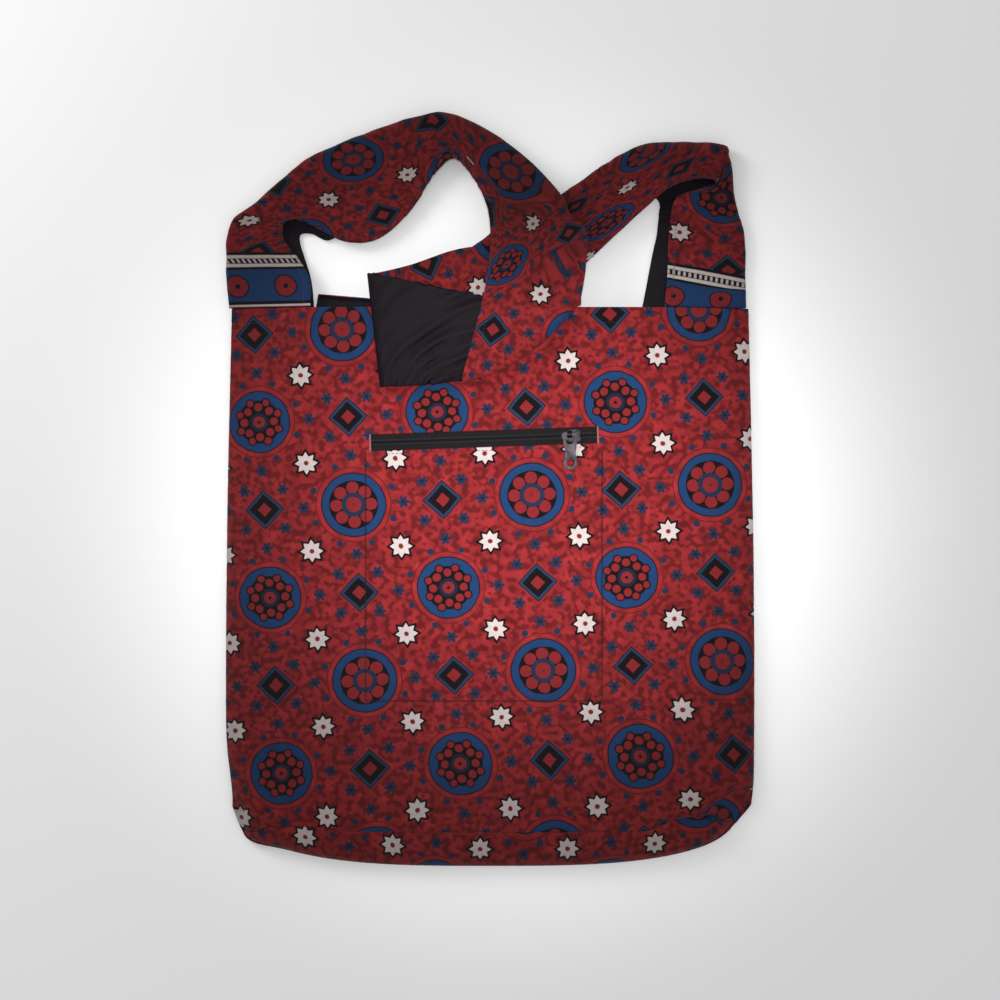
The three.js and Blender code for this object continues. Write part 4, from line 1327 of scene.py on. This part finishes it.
def block_print():
    """The printed pattern, from a place on the flat cloth in metres."""
    tree, given, result = node_group(
        "Block print", [("Cut", "NodeSocketVector", None)], [("Color", "NodeSocketColor")])
    place = scaled(tree, given.outputs["Cut"], 1 / MM)
    flatten = tree.nodes.new("ShaderNodeVectorMath")
    flatten.operation = "MULTIPLY"
    flatten.inputs[1].default_value = (1, 1, 0)
    tree.links.new(place, flatten.inputs[0])
    flat = flatten.outputs["Vector"]
    x, y, _ = split(tree, flat)
    _, drift = noise(tree, flat, PRINTING.wander_scale, 2)
    shift_x, shift_y, _ = split(tree, drift)
    x = x + (shift_x - 0.5) * PRINTING.wander
    y = y + (shift_y - 0.5) * PRINTING.wander
    a, b = (x + y) / REPEAT, (x - y) / REPEAT
    near_a, near_b = round(a), round(b)
    centre_a, centre_b = a.part() - 0.5, b.part() - 0.5
    half = REPEAT / 2

    def about(da, db):
        """Distance and angle from a motif's middle."""
        dx, dy = (da + db) * half, (da - db) * half
        return dx.length_with(dy), dy.math("ARCTAN2", dx)

    # Ground: red, mottled with soft darker patches
    patch, _ = noise(tree, flat, PRINTING.patch_scale, PRINTING.patch_detail)
    patch = patch.under(PRINTING.patch_limit, PRINTING.patch_soft)
    cloud, _ = noise(tree, flat, PRINTING.cloud_scale, 3)
    cloud = (cloud - 0.5) * PRINTING.cloud_spread + 0.5
    color = blend(tree, cloud, DYE["red"], DYE["bright_red"])

    def lay(mask, dye):
        nonlocal color
        color = blend(tree, mask, color, DYE[dye])

    radius, angle = about(a - near_a, b - near_b)
    first = ((near_a + near_b) * 0.5).part() * 2.0
    second = first.outside()
    radius = radius * (second * ROUNDEL.second_smaller + 1.0)
    square = abs(centre_a).most(abs(centre_b)) * REPEAT
    off_roundel = radius.under(ROUNDEL.halo_line).outside()
    off_diamond = square.under(DIAMOND.outline + DIAMOND.clear).outside()
    lay(patch * (off_roundel * off_diamond) * PRINTING.strength, "dark_red")
    lay(radius.within(ROUNDEL.halo, ROUNDEL.halo_line) * PRINTING.strength, "dark_red")

    # Flowers round each diamond
    gap = FLOWER.spacing
    near = [round(c / gap).least(1.0).most(-1.0) for c in (centre_a, centre_b)]
    flower_r, flower_t = about(centre_a - near[0] * gap, centre_b - near[1] * gap)
    lobes = (flower_t * FLOWER.petals).math("COSINE") * FLOWER.lobes
    lay((flower_r - lobes).under(FLOWER.size, BLED), "slate")
    lay(flower_r.under(FLOWER.eye, SHARP) * FLOWER.eye_strength, "black")

    # Diamonds
    sizes = (DIAMOND.outline, DIAMOND.edge, DIAMOND.black, DIAMOND.heart)
    for size, dye in zip(sizes, ("black", "edge_blue", "black", "petal")):
        lay(square.under(size, SHARP), dye)

    # Stars between roundels
    to_a, to_b = a - near_a, b - near_b
    pick = abs(to_b).under(abs(to_a), HARD)
    star_a = to_a + (centre_a - to_a) * pick
    star_b = centre_b + (to_b - centre_b) * pick
    star_r, star_t = about(star_a, star_b)
    fold = abs(star_t.wrapped(-math.pi / 8, math.pi / 8)) * (STAR.notch * 8 / math.pi)
    tip = star_r * (fold + 1.0)
    lay(tip.under(STAR.outline, SHARP), "black")
    lay(tip.under(STAR.white, SHARP), "white")
    lay(star_r.under(STAR.dot, BLED), "star_dot")

    # Roundels of two kinds
    on_spoke = angle.wrapped(-math.pi / 8, math.pi / 8)
    between = (angle - math.pi / 8).wrapped(-math.pi / 8, math.pi / 8)

    def spot(turn, at):
        return (radius * turn.math("COSINE") - at).length_with(radius * turn.math("SINE"))

    dots = spot(between, ROUNDEL.dots_at)
    lay(dots.under(ROUNDEL.dot, BLED), "slate")
    lay(radius.under(ROUNDEL.outline, BLED), "black")
    lay(radius.under(ROUNDEL.ring, SHARP), "blue")
    petals, outer = spot(on_spoke, ROUNDEL.petals_at), spot(between, ROUNDEL.outer_at)
    lay(radius.under(ROUNDEL.hole, SHARP) * first, "black")
    lay(petals.under(ROUNDEL.petal, SHARP) * first, "petal")
    lay(radius.under(ROUNDEL.inner_ring, SHARP) * first, "slate")
    lay(radius.under(ROUNDEL.heart, SHARP) * first, "petal")
    scallop = (radius - ROUNDEL.hole_2).least(outer - (ROUNDEL.outer + ROUNDEL.rim))
    lay(scallop.under(0.0, SHARP) * second, "black")
    beads = spot(on_spoke, ROUNDEL.beads_at)
    lay(outer.under(ROUNDEL.outer, SHARP) * second, "petal")
    lay(beads.under(ROUNDEL.bead + ROUNDEL.rim, SHARP) * second, "black")
    lay(radius.under(ROUNDEL.ring_2, BLED) * second * ROUNDEL.ring_2_strength, "slate")
    lay(beads.under(ROUNDEL.bead, SHARP) * second, "petal")
    lay(radius.under(ROUNDEL.heart_2, SHARP) * second, "petal")
    eye_strength = second * (1 - ROUNDEL.eye_first) + ROUNDEL.eye_first
    lay(radius.under(ROUNDEL.eye, SHARP) * eye_strength, "black")
    tree.links.new(color, result.inputs["Color"])
    return tree


# The border printed across both ends of the strap, in millimetres from the bag
BORDER = named(
    ("start", "end", "dye"),
    (-20, 41.6, "black"), (-20, 0.3, "red"), (0.3, 1.9, "white"), (4.3, 28.2, "blue"),
    (30.2, 32.7, "white"), (36.9, 39.4, "white"),
)
DISCS = Sizes(spacing=35.5, first=18.3, at=15.6, size=7.6, outline=1.0, eye=1.8)
LADDER = Sizes(spacing=4.0, share=0.5, low=33.2, high=36.5, soft=0.8, strength=0.85)


def border_bands():
    """The strap's end border laid over a field colour."""
    tree, given, result = node_group(
        "Border bands",
        [("Field", "NodeSocketColor", None), ("Border", "NodeSocketVector", None)],
        [("Color", "NodeSocketColor")])
    across, end, _ = split(tree, scaled(tree, given.outputs["Border"], 1 / MM))
    color = given.outputs["Field"]
    for band in BORDER:
        color = blend(tree, end.within(band.start, band.end, SHARP), color, DYE[band.dye])
    rungs = across.wrapped(0.0, LADDER.spacing).within(0, LADDER.spacing * LADDER.share)
    rungs = rungs * end.within(LADDER.low, LADDER.high, LADDER.soft) * LADDER.strength
    color = blend(tree, rungs, color, DYE["white"])
    step = (across - DISCS.first).wrapped(-DISCS.spacing / 2, DISCS.spacing / 2)
    disc = step.length_with(end - DISCS.at)
    sizes = (DISCS.size + DISCS.outline, DISCS.size, DISCS.eye)
    for size, dye in zip(sizes, ("black", "petal", "black")):
        color = blend(tree, disc.under(size, BLED), color, DYE[dye])
    tree.links.new(color, result.inputs["Color"])
    return tree


# The weave: scales of its slubs and small crumples, the height of each, and how far they tone it.
WEAVE = Sizes(
    slub_scale=420, crumple_scale=110, crumple_rough=0.55, over=0.25, slub=0.5, crumple=1.4,
    tone=0.3, darkest=0.7,
)


def plain_weave():
    """Threads of a plain weave with slubs: a height for bump, and a tone near 1."""
    tree, given, result = node_group(
        "Plain weave",
        [("Cut", "NodeSocketVector", None), ("Thread", "NodeSocketFloat", 0.0005)],
        [("Height", "NodeSocketFloat"), ("Tone", "NodeSocketFloat")])
    x, y, _ = split(tree, given.outputs["Cut"])
    thread = Wire(tree, given.outputs["Thread"])
    u, v = x / thread, y / thread
    warp = (u * math.pi).math("SINE")
    weft = (v * math.pi).math("SINE")
    over = (warp * weft).math("MULTIPLY_ADD", 0.5, 0.5)
    slub, _ = noise(tree, given.outputs["Cut"], WEAVE.slub_scale, 2)
    crumple, _ = noise(
        tree, given.outputs["Cut"], WEAVE.crumple_scale, 3, WEAVE.crumple_rough)
    height = over * WEAVE.over + slub * WEAVE.slub + crumple * WEAVE.crumple
    tone = (slub + crumple).math("MULTIPLY_ADD", WEAVE.tone, WEAVE.darkest)
    tree.links.new(height.socket, result.inputs["Height"])
    tree.links.new(tone.socket, result.inputs["Tone"])
    return tree


# Painted shade: the front's cloth is painted darker away from a pool of light over its middle, and the whole strap is
# painted darker. A painted shadow darkens the strap most over its loop.
PAINTED_SHADE = Sizes(middle=(28, 20), reach=260, start=0.42, full=0.92, share=0.53, strap=0.85)
LOOP_SHADOW = Sizes(middle=(30, 203), edge=50, soft=68, share=0.52)


def shade_painting():
    """Painted shade as tones: lower toward the outline, in a painted shadow along the pocket's stitch line, and lower
    on the strap with a painted shadow over its loop.
    """
    tree, given, result = node_group(
        "Handling soil", [("Place", "NodeSocketVector", None)],
        [("Tone", "NodeSocketFloat"), ("Strap tone", "NodeSocketFloat")])
    x, y, z = split(tree, scaled(tree, given.outputs["Place"], 1 / MM))
    # Painted shade: darker away from the middle of the front, where the light falls off.
    away = (x - PAINTED_SHADE.middle[0]).length_with(y - PAINTED_SHADE.middle[1]) / PAINTED_SHADE.reach
    in_light_pool = away.under((PAINTED_SHADE.start + PAINTED_SHADE.full) / 2, PAINTED_SHADE.full - PAINTED_SHADE.start)
    tone = in_light_pool.math("MULTIPLY_ADD", PAINTED_SHADE.share, 1 - PAINTED_SHADE.share)
    # A painted shadow along the sunk stitch line of the pocket, on the front only.
    half, middle = (POCKET.right - POCKET.left) / 2, (POCKET.right + POCKET.left) / 2
    from_pocket = (abs(x - middle) - half).most(-(y - POCKET.bottom))
    below_zip = y.under(ZIP.y - POCKET.under_zip, 1.0)
    on_front = below_zip * z.under(BAG.thickness / 2, 1.0).outside()
    line = abs(from_pocket).under(POCKET.line, 0.5) * on_front
    tone = tone * line.math("MULTIPLY_ADD", POCKET.line_tone - 1, 1.0)
    # A painted shadow on the strap over its loop, and painted shade over the whole strap.
    from_loop_shadow = (x - LOOP_SHADOW.middle[0]).length_with(y - LOOP_SHADOW.middle[1])
    in_loop_shadow = from_loop_shadow.under(LOOP_SHADOW.edge, LOOP_SHADOW.soft)
    strap_shade = in_loop_shadow.math("MULTIPLY_ADD", -LOOP_SHADOW.share, 1.0) * PAINTED_SHADE.strap
    tree.links.new(strap_shade.socket, result.inputs["Strap tone"])
    tree.links.new(tone.socket, result.inputs["Tone"])
    return tree


# Wear of the metal: scales of its clouds and grain, the share of the clouds in the bare places and
# in the height, how far the bare places are spread, and how far each changes the roughness.
WEAR = Sizes(
    cloud_scale=260, grain_scale=2400, bare_clouds=0.75, spread=3.2, start=-1.25, high_clouds=0.4,
    rough_clouds=0.2, rough_grain=0.25,
)


def worn_metal():
    """Scuffs and tarnish on small metal pieces: bare metal, a roughness and a height."""
    tree, given, result = node_group(
        "Worn metal",
        [("Place", "NodeSocketVector", None), ("Roughness", "NodeSocketFloat", 0.35)],
        [("Bare", "NodeSocketFloat"), ("Roughness", "NodeSocketFloat"), ("Height", "NodeSocketFloat")])
    cloud, _ = noise(tree, given.outputs["Place"], WEAR.cloud_scale, 4, 0.6)
    grain, _ = noise(tree, given.outputs["Place"], WEAR.grain_scale, 2)
    bare = cloud * WEAR.bare_clouds + grain * (1 - WEAR.bare_clouds)
    bare = bare.math("MULTIPLY_ADD", WEAR.spread, WEAR.start, clamp=True)
    roughness = Wire(tree, given.outputs["Roughness"]) + (grain - 0.5) * WEAR.rough_grain
    roughness = roughness + (cloud - 0.5) * WEAR.rough_clouds
    height = grain * (1 - WEAR.high_clouds) + cloud * WEAR.high_clouds
    for socket, value in (("Bare", bare), ("Roughness", roughness), ("Height", height)):
        tree.links.new(value.socket, result.inputs[socket])
    return tree


# Materials


def material(name, **values):
    """A new material with a Principled shader, whose plain values are set by socket name."""
    made = bpy.data.materials.new(name)
    made.use_nodes = True
    shader = made.node_tree.nodes["Principled BSDF"]
    for socket, value in values.items():
        shader.inputs[socket.replace("_", " ")].default_value = value
    return made, made.node_tree, shader


def placed(tree, group, **links):
    """A group in a tree, its inputs linked or set by name."""
    node = tree.nodes.new("ShaderNodeGroup")
    node.node_tree = group
    for socket, value in links.items():
        if isinstance(value, bpy.types.NodeSocket):
            tree.links.new(value, node.inputs[socket])
        else:
            node.inputs[socket].default_value = value
    return node


def place_on(tree, attribute="cut"):
    """A place on the flat cloth, from an attribute of the mesh."""
    node = tree.nodes.new("ShaderNodeAttribute")
    node.attribute_name = attribute
    return node.outputs["Vector"]


def object_place(tree):
    """A place in the bag's own frame, in metres."""
    return tree.nodes.new("ShaderNodeTexCoord").outputs["Object"]


def bumped(tree, shader, height, strength, distance):
    """A small relief given to a shader's normal."""
    bump = tree.nodes.new("ShaderNodeBump")
    bump.inputs["Strength"].default_value = strength
    bump.inputs["Distance"].default_value = distance
    tree.links.new(height, bump.inputs["Height"])
    tree.links.new(bump.outputs["Normal"], shader.inputs["Normal"])


def toned(tree, color, tone):
    """A colour made darker or lighter by a tone near 1."""
    grey = tree.nodes.new("ShaderNodeCombineXYZ")
    for axis in range(3):
        tree.links.new(tone, grey.inputs[axis])
    return blend(tree, 1.0, color, grey.outputs["Vector"], "MULTIPLY")


def printed_cotton(name, groups, thread=0.00055, bump=(0.5, 0.0006), border=False):
    """Printed cloth with painted shade, darker away from the front's middle and along the pocket's stitch line. With a
    border it is the strap's, with more painted shade.
    """
    made, tree, shader = material(
        name, Roughness=0.9, Sheen_Weight=0.05, Sheen_Roughness=0.5, Specular_IOR_Level=0.15)
    cut = place_on(tree)
    color = placed(tree, groups["print"], Cut=cut).outputs["Color"]
    if border:
        ends = placed(tree, groups["border"], Field=color, Border=place_on(tree, "border"))
        color = ends.outputs["Color"]
    weave = placed(tree, groups["weave"], Cut=cut, Thread=thread)
    # Painted shade, multiplied into the weave's tone.
    soil = placed(tree, groups["soil"], Place=object_place(tree))
    tone = Wire(tree, weave.outputs["Tone"]) * Wire(tree, soil.outputs["Tone"])
    # The strap takes more painted shade, and a painted shadow over its loop.
    if border:
        tone = tone * Wire(tree, soil.outputs["Strap tone"])
    tree.links.new(toned(tree, color, tone.socket), shader.inputs["Base Color"])
    bumped(tree, shader, weave.outputs["Height"], *bump)
    return made


def plain_cloth(name, groups, color, thread, bump, **values):
    """Woven cloth of one colour. The bump is its strength and distance."""
    made, tree, shader = material(name, **values)
    weave = placed(tree, groups["weave"], Cut=place_on(tree), Thread=thread)
    tree.links.new(toned(tree, linear(*color), weave.outputs["Tone"]), shader.inputs["Base Color"])
    bumped(tree, shader, weave.outputs["Height"], *bump)
    return made


def clouded(name, dark, light, scale, detail, **values):
    """A finish whose colour wanders between two tones."""
    made, tree, shader = material(name, **values)
    cloud, _ = noise(tree, object_place(tree), scale, detail)
    tree.links.new(blend(tree, cloud, linear(*dark), linear(*light)), shader.inputs["Base Color"])
    return made


def metal(name, groups, dull, bare, roughness, bump=(0.25, 0.0001)):
    """Metal between a dull colour and a bare one."""
    made, tree, shader = material(name, Metallic=0.9)
    wear = placed(tree, groups["metal"], Place=object_place(tree), Roughness=roughness)
    color = blend(tree, Wire(tree, wear.outputs["Bare"]), linear(*dull), linear(*bare))
    tree.links.new(color, shader.inputs["Base Color"])
    tree.links.new(wear.outputs["Roughness"], shader.inputs["Roughness"])
    bumped(tree, shader, wear.outputs["Height"], *bump)
    return made


def make_materials():
    """Every material of the bag, by what it is used for."""
    groups = dict(
        print=block_print(), border=border_bands(), weave=plain_weave(), soil=shade_painting(),
        metal=worn_metal(),
    )
    thread = dict(scale=900, detail=2, Roughness=0.7, Sheen_Weight=0.2)
    return dict(
        print=printed_cotton("printed cotton", groups),
        strap=printed_cotton("printed strap cotton", groups, border=True),
        lining=plain_cloth("dark lining cotton", groups, (18, 12, 19), 0.0006, (0.55, 0.0006),
                           Roughness=0.42, Specular_IOR_Level=0.07),
        tape=plain_cloth("zip tape", groups, (22, 18, 21), 0.0007, (0.6, 0.0004),
                         Roughness=0.7, Specular_IOR_Level=0.12),
        coil=clouded("coil nylon", (14, 13, 15), (34, 32, 36), 300, 3,
                     Roughness=0.42, Specular_IOR_Level=0.45),
        thread=clouded("maroon thread", (40, 10, 13), (70, 18, 21), **thread),
        tack=clouded("pale thread", (140, 84, 86), (182, 128, 128), **thread),
        slider=metal("dark slider metal", groups, (24, 21, 24), (62, 56, 62), 0.42),
        puller=metal("grey puller metal", groups, (44, 39, 43), (84, 78, 83), 0.48),
    )


# Stage


# The view's middle and width where the front of the bag lies, and its height, in metres
VIEW = Sizes(middle=(0.0072, -0.0076), width=0.7238, height=0.018, lens=85, sensor=36)
FLOOR_HALF = 1.6
SKY = 0.58
LIT_PLACE = (0.02, -0.02, 0)
SIDE_LIGHT = dict(size=0.5, energy=6)
POOL_LIGHT = dict(spot_size=math.radians(14.4), spot_blend=1, shadow_soft_size=0.12, energy=205)


def lamp(name, kind, place, values):
    """A light that faces the middle of the bag."""
    data = bpy.data.lights.new(name, kind)
    for key, value in values.items():
        setattr(data, key, value)
    made = bpy.data.objects.new(name, data)
    made.location = place
    toward = Vector(LIT_PLACE) - made.location
    made.rotation_euler = toward.to_track_quat("-Z", "Y").to_euler()
    bpy.context.scene.collection.objects.link(made)


def stage():
    """Pale floor, soft lights and the camera straight above."""
    mesh = bpy.data.meshes.new("floor")
    corners = [(x * FLOOR_HALF, y * FLOOR_HALF, 0) for x, y in ((-1, -1), (1, -1), (1, 1), (-1, 1))]
    mesh.from_pydata(corners, [], [(0, 1, 2, 3)])
    pale = clouded("pale floor", (248, 248, 248), (251, 251, 251), 3, 2,
                   Roughness=0.9, Specular_IOR_Level=0.1)
    floor = new_object("floor", mesh, pale)
    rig.stage(floor)

    world = bpy.data.worlds.new("studio")
    world.use_nodes = True
    background = world.node_tree.nodes["Background"]
    background.inputs["Color"].default_value = (1, 1, 1, 1)
    background.inputs["Strength"].default_value = SKY
    bpy.context.scene.world = world
    lamp("side", "AREA", (-0.9, 0.7, 0.7), SIDE_LIGHT)
    lamp("pool", "SPOT", (0.02, -0.02, 2.4), POOL_LIGHT)

    data = bpy.data.cameras.new("camera")
    data.lens = VIEW.lens
    data.sensor_width = VIEW.sensor
    camera = bpy.data.objects.new("camera", data)
    distance = VIEW.width * data.lens / data.sensor_width
    camera.location = (*VIEW.middle, VIEW.height + distance)
    bpy.context.scene.collection.objects.link(camera)
    bpy.context.scene.camera = camera
    bpy.context.scene.view_settings.view_transform = "Standard"


# Assembly


def fit(piece, body, slot, *nodes):
    """A piece put on its body, in its slot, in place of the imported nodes."""
    if nodes:
        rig.replaces(piece, *nodes)
    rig.slot(piece, slot)
    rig.ride(piece, body)
    return piece


def main():
    """Every piece made and fitted, and every sheet declared."""
    stage()
    finish = make_materials()
    front = fit(front_panel(finish["print"]), "bag", "printed_cotton", "front_panel")
    back = fit(back_panel(finish["print"]), "bag", "printed_cotton", "back_panel")
    base = fit(base_gusset(finish["print"]), "bag", "printed_cotton", "base_gusset")
    inner_front = fit(front_lining(finish["lining"]), "bag", "dark_lining", "lining_front")
    inner_back = fit(back_lining(finish["lining"]), "bag", "dark_lining", "lining_back")

    surface, w, s = strap_grid()
    outside = STRAP.cloth_out + edge_finish()[None] * np.ones_like(w)
    strap = cloth_wall("printed_strap", surface, outside, STRAP.cloth_in, finish["strap"],
                       cut=strap_cut(surface, w, s), border=strap_border(w, s))
    fit(strap, "bag", "printed_cotton", "strap")
    under = cloth_wall("strap_lining_cloth", surface, STRAP.lining_out, STRAP.lining_in,
                       finish["lining"], cut=np.stack([w, s], axis=-1))
    fit(under, "bag", "dark_lining", "strap_lining")

    sides = dict(upper=1, lower=-1)
    for name, side in sides.items():
        tape = zip_tape(f"{name}_tape_cloth", side, finish["tape"])
        fit(tape, "bag", "zip_tape", f"zip_tape_{name}")
    beads = beads_tree()
    tooth = ZIP.teeth_outer - ZIP.half_gap + COIL.overlap
    for name, side in sides.items():
        coil = beads_along(f"{name}_coil", coil_lines(side), finish["coil"], beads,
                           COIL.pitch, tooth, COIL.wide, ZIP.teeth_high, math.pi / 2)
        fit(coil, "bag", "zip_coil", f"zip_teeth_{name}")
    seams = front_stitch_lines() + strap_stitch_lines(surface)
    sewing = beads_along("sewing", seams, finish["thread"], beads,
                         STITCH.pitch, STITCH.long, STITCH.thick, STITCH.thick)
    fit(sewing, "bag", "printed_cotton")
    tacks = beads_along("bar_tacks", bar_tack_lines(), finish["tack"], beads,
                        TACK.pitch, TACK.long, TACK.wide, TACK.high, math.pi / 2)
    fit(tacks, "bag", "printed_cotton")

    slider = bevelled_copy("slider_body", "zip_slider", BROKEN_EDGE.slider, finish["slider"])
    fit(slider, "slider", "slider_metal", "zip_slider")
    puller = bevelled_copy("puller_plate", "zip_puller", BROKEN_EDGE.puller, finish["puller"])
    fit(puller, "puller", "puller_metal", "zip_puller")

    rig.sheet(front, flat=(0.385, 0.385), area=0.146, held="laid", rests_on=[inner_front])
    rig.sheet(back, flat=(0.385, 0.418), area=0.152, held="laid")
    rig.sheet(base, flat=(0.348, 0.04), area=0.0106, held="gathered", rests_on=[back])
    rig.sheet(inner_front, flat=(0.361, 0.395), area=0.137, held="laid", rests_on=[inner_back])
    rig.sheet(inner_back, flat=(0.361, 0.405), area=0.139, held="laid", rests_on=[back])
    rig.sheet(strap, flat=(0.1, 0.895), held="folded", rests_on=[front])
    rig.sheet(under, flat=(0.1, 0.895), held="folded", rests_on=[front])


main()
sizes = {"cad": [list(corner) for corner in cad_box], "visual": [list(corner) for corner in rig.bounds()]}
with open("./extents.json", "w") as file:
    json.dump(sizes, file)
